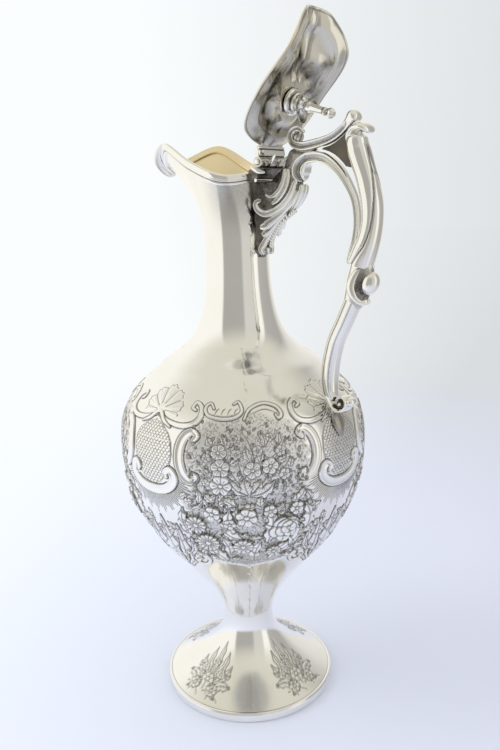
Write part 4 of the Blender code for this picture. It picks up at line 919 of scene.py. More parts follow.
# bowl: each quarter in a lower and an upper sheet, raised or sunk square to the outline by the drawing
def makeBowl():
    plate = chaseQuarter()
    z = np.interp(plate["climb"], bodyClimb, bodyFine[:, 1])
    r, outR, outZ = onBody(z)
    angle = plate["across"] / panel["reference"]
    reach = r[:, None] + plate["height"] * outR[:, None]
    lift = z[:, None] + plate["height"] * outZ[:, None]
    split = panel["rows"][0] + panel["rows"][1]
    for k, side in enumerate((-45, 45, 135, 225)):
        turn = math.radians(side) + angle[None, :]
        grid = np.stack((reach * np.cos(turn), reach * np.sin(turn), lift), axis=-1)
        normal = unit(np.cross(np.gradient(grid, axis=1), np.gradient(grid, axis=0)))
        for title, rows in (("Lower", slice(0, split + 1)), ("Upper", slice(split, None))):
            cut = (rows, slice(1, -1))
            sheet = {"grid": grid[cut], "dark": plate["dark"][cut], "matte": plate["matte"][cut]}
            buildPiece("bowl%s%d" % (title, k + 1), [sheet], [chasedSilver], "vessel", ["bowl"], weld=False,
                       normals=normal[cut])


# bowl's lining: the outline set in by the wall's thickness, closed at the bottom
def makeLining():
    heights = bodyFine[:, 1]
    z = heights[(heights > panel["liningFrom"]) & (heights < bodyShape["seamZ"])][::6]
    r, outR, outZ = onBody(z)
    inner = np.column_stack((r - outR, z - outZ))
    inner = np.vstack(((0.01, inner[0, 1] - 0.5), inner))
    lining = {"grid": turned(inner, 96)[:, ::-1], "wrapCols": True}
    buildPiece("bowlLining", [lining], [giltSilver], "vessel", weld=False)


makeBowl()
makeLining()
print("bowl done")

# neck, rim and lid round the waved mouth

mouthShape = {
    "base": 292.4,
    "half": [(18.0, 0.0, 1.6), (9.8, 20.4, 0.0), (-8.7, 24.2, 7.0), (-30.6, 21.6, 17.4),
             (-45.0, 10.9, 11.6), (-47.5, 0.0, 6.2)],
    "count": 192, "flare": 2.0, "rimHeight": 5.0, "rimLap": 0.2, "neckRows": 56,
    # neck's painted shade: its strength, and the x and height over which it comes in
    "neckShade": 0.42, "neckShadeX": (-6.0, 12.0), "neckShadeZ": (258.0, 284.0),
}


# mouth: a smooth closed line through half the mouth and its mirror image
def mouthRing():
    half = mouthShape["half"]
    ring = through(half + [(x, -y, h) for x, y, h in half[-2:0:-1]], mouthShape["count"], closed=True)
    return ring + np.array((0.0, 0.0, mouthShape["base"]))


mouth = mouthRing()


# directions at the mouth's edge: on up the flared wall, and square to it, facing out
def mouthFrame():
    along = unit(np.roll(mouth, -1, axis=0) - np.roll(mouth, 1, axis=0))
    reach = np.linalg.norm(mouth[:, :2], axis=1)
    rise = np.column_stack((mouth[:, :2] / reach[:, None], 0 * reach))
    rise *= (mouthShape["flare"] * (reach - bodyShape["neckRadius"]))[:, None]
    rise[:, 2] = mouth[:, 2] - bodyShape["neckZ"]
    rise = unit(rise - along * np.sum(rise * along, axis=1)[:, None])
    return rise, np.cross(along, rise)


rimRise, rimOut = mouthFrame()


# step from each column's left neighbour to its right one on a closed grid
def roundStep(grid):
    return np.roll(grid, -1, axis=1) - np.roll(grid, 1, axis=1)


# neck: turned below, opening by a power of the height into the mouth above; the sheet runs up outside, over
# the edge and down inside. Its outside is darkened on the handle's side towards the top, a painted shade
# under the bracket
def makeNeck():
    m, b = mouthShape, bodyShape
    around = np.column_stack((mouth[:, :2] / np.linalg.norm(mouth[:, :2], axis=1)[:, None], 0 * mouth[:, 0]))
    top = mouth - rimRise * (m["rimHeight"] - m["rimLap"])
    reach = np.linalg.norm(top[:, :2], axis=1)
    ways = top * np.array((1.0, 1.0, 0.0)) / reach[:, None]
    low = np.linspace(b["seamZ"], b["neckZ"], m["neckRows"])[:-1]
    r = onBody(low)[0]
    lower = around[None] * r[:, None, None] + np.array((0, 0, 1.0)) * low[:, None, None]
    share = np.linspace(0, 1, m["neckRows"])[:, None]
    radius = b["neckRadius"] + (reach - b["neckRadius"]) * share ** m["flare"]
    upper = ways[None] * radius[..., None]
    upper[..., 2] = b["neckZ"] + (top[:, 2] - b["neckZ"]) * share
    outer = np.concatenate((lower, upper))
    facing = unit(np.cross(roundStep(outer), np.gradient(outer, axis=0)))
    inner = (outer - b["wall"] * facing)[::-1]
    paint = np.concatenate((np.zeros(len(outer)), np.ones(len(inner) - 1)))
    # painted shade: the outside darkens towards the handle's side and towards the top
    neckShade = m["neckShade"] * ease(outer[..., 0], *m["neckShadeX"]) * ease(outer[..., 2], *m["neckShadeZ"])
    dark = np.concatenate((neckShade, np.zeros(inner.shape[:2])))
    wall = {"grid": np.concatenate((outer, inner)), "wrapCols": True, "paint": paint, "dark": dark}
    buildPiece("neckWall", [wall], [sheetSilver, giltSilver], "vessel", ["neck"], weld=False, crease=60)


rimSection = [(-1.25, 0.0), (1.35, 0.0), (1.75, 0.35), (1.85, 0.75), (1.62, 1.1), (1.30, 1.3), (1.28, 1.5),
              (1.55, 1.75), (1.72, 2.1), (1.62, 2.45), (1.42, 2.7), (1.40, 3.1), (1.30, 3.6), (1.10, 4.2),
              (0.75, 4.7), (0.2, 5.0), (-0.45, 4.95), (-0.95, 4.6), (-1.2, 4.0), (-1.3, 2.5)]


# rim: a moulded section of band, fillet, groove and bead, carried round the mouth
def makeRim():
    section = through(rimSection, 72, closed=True)
    foot = mouth - rimRise * mouthShape["rimHeight"] - rimOut * bodyShape["wall"] / 2
    grid = foot[None] + section[:, :1, None] * rimOut[None] + section[:, 1:, None] * rimRise[None]
    groove = np.exp(-(((section[:, 1] - 1.4) / 0.22) ** 2)) * (section[:, 0] > 0)
    dark = np.broadcast_to(0.75 * groove[:, None], grid.shape[:2])
    inside = (section[:, 0] < -0.9).astype(int)
    rim = {"grid": grid, "wrapRows": True, "wrapCols": True, "dark": dark, "paint": inside}
    buildPiece("mouthRim", [rim], [sheetSilver, giltSilver], "vessel", ["rim_moulding"])


hinge = {"x": 24.3, "z": 297.8, "open": 108.5, "width": 19.6, "knuckle": 2.6}


# turns points about the hinge's axis from closed to the open rest pose
def opened(grid):
    a = math.radians(hinge["open"])
    x, z = grid[..., 0] - hinge["x"], grid[..., 2] - hinge["z"]
    turnedX = x * math.cos(a) + z * math.sin(a) + hinge["x"]
    turnedZ = -x * math.sin(a) + z * math.cos(a) + hinge["z"]
    return np.stack((turnedX, grid[..., 1], turnedZ), axis=-1)


lidShape = {
    "seatX": -6.0, "seatRise": 9.8, "edgePower": 1.7, "gap": 1.2, "wall": 1.0, "hole": 1.6, "flat": 7.0,
    "rings": 88, "rimOver": 1.7,
    "hollow": 2.6, "hollowFrom": (8.0, 15.0), "hollowToEdge": (5.5, 11.0), "hollowToFront": (0.55, 0.95),
    "midLobe": 2.4, "backLobe": 1.2, "lobeAt": 0.36, "lobeWide": 0.20, "lobeBeat": 1.9,
    "hood": 3.6, "hoodWide": 21.0, "hoodFrom": (16.0, 27.0),
    "rib": 0.8, "grooveAt": 2.6, "bezel": 4.2, "bezelFromEdge": (5.2, 7.2), "bezelX": (-8.0, 8.0),
}


# lid: rings from the finial out to the mouth's edge; height goes as a power of the share of the way out,
# less a hollow round the finial, plus two hoods by the spout, four lobes and a grooved rib down the front
def lidTop(share):
    s = lidShape
    seatAt = np.array((s["seatX"], 0.0))
    edge = mouth[:, :2] - seatAt
    reach = np.linalg.norm(edge, axis=1)
    ray = edge / reach[:, None]
    rimTop = mouth[:, 2] + np.clip(-rimOut[:, 2], 0, 1) * s["rimOver"] + s["gap"] + s["wall"]
    top = mouthShape["base"] + s["seatRise"]
    share = share[:, None]
    radius = s["flat"] + (reach - s["flat"]) * share
    plan = seatAt + ray[None] * radius[..., None]
    height = top + (rimTop - top) * share ** s["edgePower"]
    sink = s["hollow"] * ease(radius, *s["hollowFrom"]) * ease(reach - radius, *s["hollowToEdge"])
    sink = sink * (1 - ease(share, *s["hollowToFront"]))
    height = height - sink
    spoutward = np.arctan2(np.abs(ray[:, 1]), -ray[:, 0])[None, :]
    lobed = np.abs(np.sin(s["lobeBeat"] * spoutward)) ** 0.7
    lobe = np.where(spoutward < math.pi / s["lobeBeat"], s["midLobe"], s["backLobe"]) * lobed
    height = height + lobe * np.exp(-(((share - s["lobeAt"]) / s["lobeWide"]) ** 2)) * ease(share, 0.0, 0.2)
    side = np.abs(plan[..., 1])
    hood = np.abs(np.sin(np.pi * np.clip(side / s["hoodWide"], 0, 1))) ** 0.7
    hood = hood * ease(-plan[..., 0], *s["hoodFrom"])
    height = height + s["hood"] * hood * (1 - share**8)
    front = ease(share, 0.02, 0.12) * (1 - ease(share, 0.93, 1.0)) * (spoutward < 1.2)
    toGroove = side - s["grooveAt"] - share
    rib = np.exp(-((side / (1.0 + 1.2 * share)) ** 2)) - 0.6 * np.exp(-((toGroove / 0.7) ** 2))
    height = height + s["rib"] * rib * front
    groove = 0.45 * np.exp(-((toGroove / 0.45) ** 2)) * front
    groove = groove + 0.6 * np.exp(-(((share - 0.965) / 0.012) ** 2))
    # painted shade: the valleys between the lobes and the ring round the finial are darkened; the grooves'
    # dark lines follow cuts
    valley = np.exp(-((lobed / 0.32) ** 2)) * np.exp(-(((share - 0.33) / 0.2) ** 2))
    valley = valley * ease(share, 0.04, 0.12)
    moat = ease(radius, 10.5, 14.0) * (1 - ease(radius, 16.0, 23.0))
    dark = np.maximum.reduce((groove, 0.55 * valley, 0.45 * moat))
    return np.concatenate((plan, height[..., None]), axis=-1), dark, sink


# lid's tarnish and painted reflection: crossed slow waves of painted reflection, strongest half way out,
# over a light tarnish everywhere, and painted shade where the open lid's top faces downward
def lidTarnishAndPaintedReflection(outer, depth):
    swung = opened(outer)
    tilt = unit(np.cross(np.gradient(swung, axis=0), roundStep(swung)))[..., 2]
    tilt = tilt * np.sign(np.sum(tilt))
    turn = np.arctan2(mouth[:, 1], -mouth[:, 0])[None, :]
    cloud = 0.5 + 0.5 * np.sin(9 * depth + 2 * np.sin(5 * turn) + 1.5) * np.cos(4 * turn + 7 * depth)
    halfway = np.clip(1 - np.abs(depth - 0.45) / 0.55, 0, 1)
    return 0.08 + 0.75 * cloud**4 * halfway + 0.16 * ease(tilt, 0.30, 0.60)


# lid's shell: the top, a rounded edge and a gilt inside with a step down into the mouth
def makeLid():
    s = lidShape
    share = np.linspace(0, 1, s["rings"])
    outer, dark, sink = lidTop(share)
    centre = np.array((s["seatX"], 0, 0))
    hub = (outer[:1] - centre) * np.array((s["hole"] / s["flat"], s["hole"] / s["flat"], 1)) + centre
    outer = np.concatenate((hub, outer))
    dark, sink = (np.concatenate((0 * values[:1], values)) for values in (dark, sink))
    facing = unit(np.cross(np.gradient(outer, axis=0), roundStep(outer)))
    facing *= np.sign(facing[..., 2:])
    depth = np.concatenate(((0.0,), share))[:, None]
    forward = 1 - ease(mouth[:, 0], *s["bezelX"])
    edgeAway = (1 - depth) * (np.linalg.norm(mouth[:, :2] - centre[:2], axis=1) - s["flat"])
    inset = s["bezel"] * ease(edgeAway, *s["bezelFromEdge"]) * ease(depth, 0.1, 0.4) * forward
    inner = outer - s["wall"] * facing - np.maximum(inset - sink, 0)[..., None] * np.array((0.0, 0.0, 1.0))
    middle = (outer[-1:] + inner[-1:]) / 2 + 0.25 * unit(outer[-1:] - outer[-2:-1])
    grid = np.concatenate((outer, middle, inner[::-1]))
    paint = np.concatenate((np.zeros(len(outer)), np.ones(len(inner) + 1)))
    dark = np.concatenate((dark, np.zeros((len(inner) + 1, dark.shape[1]))))
    # the lid's top takes painted reflection and painted shade as well as its grooves' dark
    dark[: len(outer)] = np.clip(dark[: len(outer)] + lidTarnishAndPaintedReflection(outer, depth), 0, 1)
    shell = {"grid": opened(grid), "wrapRows": True, "wrapCols": True, "paint": paint, "dark": dark}
    buildPiece("lidShell", [shell], [lidShadedSilver, giltSilver], "lid_group", ["lid"], crease=70)


# lines of the finial: (radius, height); the cup's are (stalk radius, share of a petal's length, height)
finialShape = {
    "gap": 0.3, "cupRise": 5.3, "stalkRise": 3.9, "studRadius": 1.3, "petalLength": 5.6, "petalLift": 2.2,
    "collar": [(1.7, 5.0), (3.4, 5.0), (4.6, 4.6), (5.0, 3.9), (4.5, 3.2), (4.0, 2.8), (4.6, 2.5),
               (5.9, 2.0), (6.4, 1.2), (6.0, 0.4), (4.0, 0.0), (1.7, 0.0)],
    "cup": [(1.7, 0.0, 0.0), (2.5, 0.0, 0.0), (2.5, 0.5, 0.3), (2.5, 0.85, 0.9), (2.5, 1.0, 1.7),
            (2.5, 0.98, 2.2), (2.5, 0.80, 2.3), (2.5, 0.45, 2.2), (2.5, 0.15, 2.7), (2.4, 0.0, 3.6),
            (1.7, 0.0, 3.6)],
    "stalk": [(0.02, 17.0), (1.3, 16.8), (2.1, 15.8), (2.25, 14.6), (1.75, 13.2), (1.45, 12.4), (1.9, 11.6),
              (1.7, 10.4), (1.75, 7.5), (2.1, 4.0), (2.7, 1.8), (2.6, 0.6), (2.1, 0.0)],
}
finialTop = mouthShape["base"] + lidShape["seatRise"] + finialShape["gap"]


# a finial's piece, drawn upright about the vertical axis: moved onto the lid and opened with it
def finialPiece(name, grid, dark, node, wrapRows, crease=None):
    grid = opened(grid + np.array((lidShape["seatX"], 0.0, 0.0)))
    sheet = {"grid": grid, "wrapRows": wrapRows, "wrapCols": True, "dark": dark}
    buildPiece(name, [sheet], [castSilver], "lid_group", [node], crease=crease)


# collar: a turned line of two steps with dark grooves
def makeCollar():
    collar = through(finialShape["collar"], 90)
    waist = np.exp(-(((collar[:, 1] - 2.85) / 0.5) ** 2))[:, None]
    seat = np.exp(-(((collar[:, 1] - 0.2) / 0.3) ** 2))[:, None]
    grid = turned(collar + np.array((0, finialTop)), 64)
    finialPiece("finialCollar", grid, 0.95 * waist + 0.8 * seat, "finial_collar", True, 60)


# calyx: a section whose reach swells by a power of the cosine of twice the angle, which gives four petals
def makeCalyx():
    f = finialShape
    angle = np.linspace(0, 2 * np.pi, 96, endpoint=False)
    petal = np.abs(np.cos(angle * 2)) ** 0.55
    section = through(np.array(f["cup"]), 60)
    out = section[:, 1:2]
    reach = section[:, :1] + f["petalLength"] * out * petal
    height = finialTop + f["cupRise"] + section[:, 2:] + f["petalLift"] * out**2 * petal
    grid = np.stack((reach * np.cos(angle), reach * np.sin(angle), height), axis=-1)
    between = 0.85 * (1 - petal)[None, :] * ease(out, 0.1, 0.5)
    heart = ease(section[:, 2:], 2.0, 2.3) * ease(out, 0.3, 0.5) * petal
    finialPiece("finialCalyx", grid, np.maximum(between, 0.95 * heart), "finial_calyx", True)


# stalk: a turned line, fluted by a cosine of six times the angle at its bud, with the stud below it
def makeStalk():
    foot = finialTop + finialShape["cupRise"] + finialShape["stalkRise"]
    stalk = through(finialShape["stalk"], 110)
    angle = np.linspace(0, 2 * np.pi, 48, endpoint=False)
    reach = stalk[:, :1] * (1 + 0.09 * np.cos(angle * 6) * ease(stalk[:, 1:], 10.0, 13.0))
    grid = np.stack((reach * np.cos(angle), reach * np.sin(angle), foot + stalk[:, 1:] + 0 * angle), axis=-1)
    thin = finialShape["studRadius"]
    stud = turned(np.array([(2.1, foot), (thin, foot - 0.1), (thin, finialTop - 3.0),
                            (0.02, finialTop - 3.4)]), 48)
    ring = np.exp(-(((stalk[:, 1:] - 12.6) / 0.5) ** 2)) + np.exp(-(((stalk[:, 1:] - 10.9) / 0.3) ** 2))
    dark = np.concatenate((0.7 * ring + 0 * angle, np.zeros((4, 48))))
    finialPiece("finialStem", np.concatenate((grid, stud)), dark, "finial_stem", False)


lipRoll = {"from": -33.0, "radius": 2.7, "out": 0.9, "down": 0.7, "rows": 90}
ringAngle = np.linspace(0, 2 * np.pi, 64, endpoint=False)[None, :]  # angles round every swept section


# lip: the rim's edge rolls over in front of the spout as a tube that fades out along both sides; its
# underside is darkened as painted shade
def makeLipRoll():
    r = lipRoll
    order = np.argsort(np.arctan2(mouth[:, 1], -mouth[:, 0]))
    line = through(mouth[order][mouth[order, 0] < r["from"]], r["rows"])
    share = np.linspace(0, 1, r["rows"])[:, None]
    along = unit(np.gradient(line, axis=0))
    up = np.array((0.0, 0.0, 1.0))
    out = unit(np.cross(along, up))
    out = out * np.sign(-out[r["rows"] // 2, 0])
    size = r["radius"] * np.sin(np.pi * np.clip(share, 0.002, 0.998)) ** 0.6
    centre = line + out * r["out"] * size - up * r["down"] * size
    ring = out[:, None] * np.cos(ringAngle)[0, :, None] + up * np.sin(ringAngle)[0, :, None]
    # painted shade along the roll's underside
    rollUnderShade = np.exp(-(((np.degrees(ringAngle) - 285) / 30) ** 2))
    sheet = {"grid": centre[:, None] + size[:, None] * ring, "wrapCols": True,
             "dark": 0.8 * rollUnderShade * np.sin(np.pi * share)}
    buildPiece("lipRoll", [sheet], [castSilver], "vessel")


makeNeck()
makeRim()
makeLipRoll()
makeLid()
makeCollar()
makeCalyx()
makeStalk()
print("neck, rim and lid done")

# handle: cast sweeps in the plane of spout and handle

handlePaths = {  # stations from the hinge axis: outward, upward, radius
    "arm": [(21.3, 12.3, 0.9), (18.4, 14.6, 1.3), (14.9, 13.6, 1.6), (13.9, 10.6, 1.8), (16.4, 7.6, 2.1),
            (21.3, 6.3, 2.3), (26.6, 6.6, 2.35), (31.9, 7.3, 2.3), (37.6, 8.6, 2.2), (42.6, 11.0, 2.0),
            (46.4, 13.9, 2.0), (49.3, 16.5, 2.7), (52.0, 18.8, 3.2)],
    "scroll": [(21.1, -10.2, 1.7), (19.6, -6.4, 3.6), (20.6, -2.3, 3.6), (23.6, 0.2, 3.1), (28.4, 0.9, 2.8),
               (33.6, 0.0, 2.6), (38.7, -2.9, 2.4), (43.2, -7.1, 2.1), (47.1, -12.6, 1.8),
               (50.2, -18.5, 1.6), (51.6, -24.8, 1.5), (51.7, -31.5, 1.4), (50.6, -37.9, 1.4),
               (49.0, -43.5, 1.5), (47.4, -48.6, 1.4)],
    "grip": [(51.6, 10.8, 3.4), (51.4, 7.7, 4.6), (52.0, 3.7, 5.0), (53.7, -1.1, 4.9), (56.0, -7.3, 4.6),
             (58.2, -13.9, 4.7), (59.9, -21.4, 4.75), (60.0, -29.3, 4.7), (58.6, -36.5, 5.0),
             (56.2, -42.8, 5.6), (54.0, -48.5, 5.8)],
    "lip": [(47.2, 5.4, 0.9), (48.6, 9.2, 1.6), (52.4, 11.9, 2.1), (56.4, 11.6, 2.0), (58.8, 9.4, 1.2)],
    "boss": [(54.6, -47.0, 5.2), (54.4, -52.0, 6.2), (53.4, -57.5, 6.8), (51.2, -63.5, 5.8),
             (48.6, -68.6, 4.5)],
    "collar": [(60.1, 0.0, -49.6, 1.8), (57.2, 2.9, -49.6, 1.4), (54.2, 4.9, -52.8, 1.8),
               (52.2, 5.6, -58.2, 2.2), (53.4, 5.0, -63.4, 1.9), (55.6, 3.0, -66.0, 1.5),
               (57.8, 0.0, -65.6, 1.9)],
    "lower": [(51.0, -64.0, 4.2), (45.4, -75.5, 4.1), (40.7, -84.8, 4.1), (38.4, -92.1, 4.1),
              (36.9, -99.4, 4.1), (36.3, -106.6, 4.0), (36.9, -112.7, 3.6), (39.0, -117.4, 2.4)],
    "volute": [(36.4, -113.4, 1.1), (38.9, -117.6, 1.1), (41.6, -120.3, 1.1), (44.9, -120.7, 1.1),
               (47.6, -118.2, 1.0), (47.6, -115.4, 0.9), (45.6, -113.9, 0.8), (43.3, -115.0, 0.7),
               (42.9, -117.0, 0.6)],
}


# sweep: a section of (across in the handle's plane, sideways) carried along stations of (x, y, z, radius)
def sweep(stations, section, rows, rounded=(True, True)):
    path = through(stations, rows)
    travel = np.concatenate(((0.0,), np.cumsum(np.linalg.norm(np.diff(path[:, :3], axis=0), axis=1))))
    ends = np.array((0, 0.0012, 0.005, 0.011, 0.02, 0.03))
    even = np.linspace(0, 1, rows)
    if rounded[0]:
        even[:6] = ends
    if rounded[1]:
        even[-6:] = 1 - ends[::-1]
    even = np.sort(even)
    path = np.column_stack([np.interp(even * travel[-1], travel, path[:, k]) for k in range(4)])
    radius = path[:, 3].copy()
    for end, here in ((0, even * travel[-1]), (-1, (1 - even) * travel[-1])):
        if rounded[end]:
            radius = radius * np.sqrt(np.clip(1 - np.clip(1 - here / path[end, 3], 0, 1) ** 2, 1e-4, 1))
    along = unit(np.gradient(path[:, :3], axis=0))
    out = unit(np.cross(along, (0.0, 1.0, 0.0)))
    side = np.cross(along, out)
    p, q = section(even)
    grid = path[:, None, :3] + out[:, None] * (radius[:, None] * p)[..., None]
    return grid + side[:, None] * (radius[:, None] * q)[..., None]


# stations counted from the hinge axis to stations in space
def fromHinge(stations):
    return [(hinge["x"] + s[0], s[1] if len(s) == 4 else 0.0, hinge["z"] + s[-2], s[-1]) for s in stations]


# power of the size of a value, with its sign kept
def signedPower(v, power):
    return np.sign(v) * np.abs(v) ** power


# oval section, as wide sideways as the given multiple of its size in the handle's plane
def plainSection(width):
    return lambda share: (np.cos(ringAngle) + 0 * share[:, None],
                          width * np.sin(ringAngle) + 0 * share[:, None])


# strap with two rounded rims and a hollow flute down each side, flat again past the given share
def fluted(width, dip, until=1.0):
    def section(share):
        p = signedPower(np.cos(ringAngle), 0.75) + 0 * share[:, None]
        hollow = dip * np.cos(np.clip(p * 1.15, -1, 1) * np.pi / 2) ** 2
        hollow = hollow * (1 - ease(share[:, None], until - 0.04, until + 0.04))
        return p, width * signedPower(np.sin(ringAngle), 0.6) * (1 - hollow)
    return section


# dark along the middle of a flute: tarnish in the hollow together with painted shade
def fluteDark(rows, strength):
    p = signedPower(np.cos(ringAngle), 0.75)
    return np.cos(np.clip(p * 1.3, -1, 1) * np.pi / 2) ** 2 * strength + np.zeros((rows, 1))


# closed ball-like piece with three half sizes, turned in the handle's plane
def ovalBall(place, sizes, lean=0.0):
    turn = np.linspace(0, np.pi, 29)[:, None]
    a, b, c = (sizes[0] * np.cos(ringAngle) * np.sin(turn), sizes[1] * np.sin(ringAngle) * np.sin(turn),
               sizes[2] * np.cos(turn) + 0 * ringAngle)
    cs, sn = math.cos(math.radians(lean)), math.sin(math.radians(lean))
    return np.stack((place[0] + cs * a + sn * c, place[1] + b, place[2] - sn * a + cs * c), axis=-1)


# a sheet that closes round its columns, with its darkening: tarnish, and painted shade where a part lies in
# shade
def tube(grid, dark=0.0):
    return {"grid": grid, "wrapCols": True, "dark": dark}


# a cast piece of the vessel that stands for one node
def castPiece(name, sheets, node):
    buildPiece(name, sheets, [castSilver], "vessel", [node])


# a place counted from the hinge axis
def atHinge(x, z, y=0.0):
    return (hinge["x"] + x, y, hinge["z"] + z)


# arm: a fluted strap whose flute ends before the thumb knob, with a smooth rosette in its curl whose lumps
# are only painted shade in bands
def makeArm():
    rows = 150
    share = np.linspace(0, 1, rows)[:, None]
    arm = sweep(fromHinge(handlePaths["arm"]), fluted(1.4, 0.45, 0.86), rows)
    # painted shade in bands round the smooth rosette stands in for its lumps
    paintedLumpShade = 0.5 + 0.5 * np.sin(ringAngle * 7 + np.linspace(0, 9, 29)[:, None])
    rosette = ovalBall(atHinge(18.0, 11.0), (2.9, 2.2, 2.9))
    flute = fluteDark(rows, 0.75 * (1 - ease(share, 0.80, 0.90)))
    castPiece("handleArm", [tube(arm, flute), tube(rosette, 0.25 + 0.6 * paintedLumpShade)], "handle_top_arm")


# scroll: a fluted strap, darker in its first curl
def makeScroll():
    rows = 190
    share = np.linspace(0, 1, rows)[:, None]
    scroll = sweep(fromHinge(handlePaths["scroll"]), fluted(1.35, 0.5), rows)
    flute = fluteDark(rows, 0.35 + 0.5 * (1 - ease(share, 0.1, 0.35)))
    castPiece("handleScroll", [tube(scroll, flute)], "handle_inner_scroll")


gripCut = {"share": (0.0, 0.12, 0.3, 0.36, 0.55, 0.7, 0.85, 1.0), "degrees": (2, 4, 12, 20, 50, 62, 74, 104)}


# degrees round the grip from the leaf's edge, and where that edge is cut
def leafEdge(share):
    where = np.interp(share, gripCut["share"], gripCut["degrees"])[:, None]
    off = np.abs(np.degrees(np.arccos(np.cos(ringAngle)))) - where
    return off, ease(share, 0.1, 0.16)[:, None]


# grip's section: an oval cut in along the leaf's edge and a little fuller past it
def gripSection(share):
    off, on = leafEdge(share)
    size = 1 - 0.09 * on * np.exp(-((off / 6) ** 2)) + 0.04 * on * ease(off, 2, 20)
    return np.cos(ringAngle) * size, 1.2 * np.sin(ringAngle) * size


# grip: an oval wrapped by a leaf, whose edge is a cut line that starts on the outer side and ends inside
def makeGrip():
    rows = 190
    share = np.linspace(0, 1, rows)
    off, on = leafEdge(share)
    barb = np.exp(-(((share[:, None] - 0.31 + 0.0028 * off) / 0.008) ** 2)) * (np.abs(off + 8) < 11)
    dark = np.clip(on * np.exp(-((off / 4.5) ** 2)) + 0.8 * barb, 0, 1)
    grip = sweep(fromHinge(handlePaths["grip"]), gripSection, rows, (True, False))
    lip = sweep(fromHinge(handlePaths["lip"]), plainSection(2.9), 60)
    castPiece("handleGrip", [tube(grip, dark), tube(lip)], "handle_grip")


# boss: an oval core between two collars, which hold the bead; the core is darkened on the bead's side as
# painted shade
def makeBoss():
    rows = 60
    swell = np.sin(np.pi * np.linspace(0, 1, rows))[:, None]
    boss = sweep(fromHinge(handlePaths["boss"]), plainSection(0.9), rows, (False, False))
    # painted shade on the core where the bead sits against it
    sheets = [tube(boss, 0.95 * ease(np.cos(ringAngle), -0.1, 0.25) * swell)]
    for sign in (-1, 1):
        collar = [(x, sign * y, z, r) for x, y, z, r in handlePaths["collar"]]
        sheets.append(tube(sweep(fromHinge(collar), plainSection(0.9), 70)))
    castPiece("handleBoss", sheets, "handle_boss")
    castPiece("bossBead", [tube(ovalBall(atHinge(59.0, -57.2), (4.4, 4.8, 5.8), 24))], "boss_bead")


# lower arm's section: a softened bar with two fine cut lines on each side
def lowerSection(share):
    angle = np.degrees(np.arccos(np.cos(ringAngle)))
    cut = np.exp(-(((angle - 66) / 5) ** 2)) + np.exp(-(((angle - 104) / 6) ** 2))
    size = 1 - 0.05 * cut * np.sin(np.pi * share[:, None]) ** 0.5
    return signedPower(np.cos(ringAngle), 0.85) * size, 1.15 * signedPower(np.sin(ringAngle), 0.8) * size


# lower arm: that section, dark along its cut lines
def makeLowerArm():
    angle = np.degrees(np.arccos(np.cos(ringAngle)))
    lines = 0.95 * np.exp(-(((angle - 104) / 5) ** 2)) + 0.7 * np.exp(-(((angle - 66) / 4) ** 2))
    lower = sweep(fromHinge(handlePaths["lower"]), lowerSection, 130, (False, True))
    castPiece("lowerArm", [tube(lower, lines)], "handle_lower_arm")


# terminal: a rolled strip with an eye, a bud and, in the roll's hollow, a wholly dark ball that is painted
# shade
def makeTerminal():
    volute = sweep(fromHinge(handlePaths["volute"]), plainSection(4.6), 90)
    eye = ovalBall(atHinge(44.9, -117.0), (1.3, 5.6, 1.3))
    # a wholly dark ball stands in for the shade inside the roll
    hollow = ovalBall(atHinge(44.6, -117.2), (3.0, 4.2, 3.0))
    bud = ovalBall(atHinge(49.2, -116.0), (2.2, 3.4, 2.4), 20)
    castPiece("terminalScroll", [tube(volute), tube(eye), tube(hollow, 1.0), tube(bud)], "terminal_scroll")


bracketRibs = [  # stations from the hinge axis: outward, sideways, upward, radius
    [(22.4, -2.5, -11.2, 1.3), (21.7, -2.5, -14.9, 1.4), (19.2, -2.5, -19.1, 1.3), (15.7, -2.0, -22.8, 0.8)],
    [(18.8, -2.6, -9.2, 1.3), (16.8, -3.2, -14.8, 1.7), (12.9, -4.0, -19.9, 1.8), (8.1, -5.2, -23.3, 1.8),
     (3.1, -7.0, -24.7, 1.9), (-0.4, -8.6, -23.1, 1.7), (-1.8, -9.2, -20.4, 1.5), (-1.2, -8.6, -18.4, 1.2),
     (0.2, -7.6, -18.5, 0.9)],
    [(19.8, -2.4, -13.9, 1.0), (16.4, -2.8, -19.5, 1.3), (11.2, -3.6, -24.1, 1.4), (6.1, -5.2, -27.9, 1.7),
     (1.6, -7.0, -31.0, 2.1), (-0.7, -8.2, -30.7, 1.6)],
    [(12.2, -2.4, -24.7, 0.9), (7.1, -3.4, -28.5, 1.2), (3.1, -5.0, -32.8, 1.5), (-0.2, -7.0, -35.9, 1.6)],
    [(7.9, -2.0, -27.5, 0.9), (2.4, -2.6, -33.4, 1.3), (-1.2, -4.0, -39.4, 1.5), (-2.5, -5.4, -42.8, 1.3),
     (-1.6, -4.6, -45.4, 0.9)],
    [(14.0, -2.6, -3.4, 0.9), (14.4, -3.2, -8.1, 1.4), (12.3, -3.8, -13.7, 1.6), (8.5, -4.8, -18.3, 1.4),
     (5.6, -6.0, -20.4, 0.7)],
    [(12.5, -3.4, -3.3, 0.7), (12.4, -4.2, -9.0, 1.2), (10.7, -5.0, -13.1, 1.2), (7.7, -6.0, -15.9, 1.0),
     (5.3, -7.0, -16.7, 0.7), (2.9, -7.6, -15.5, 0.5)],
]
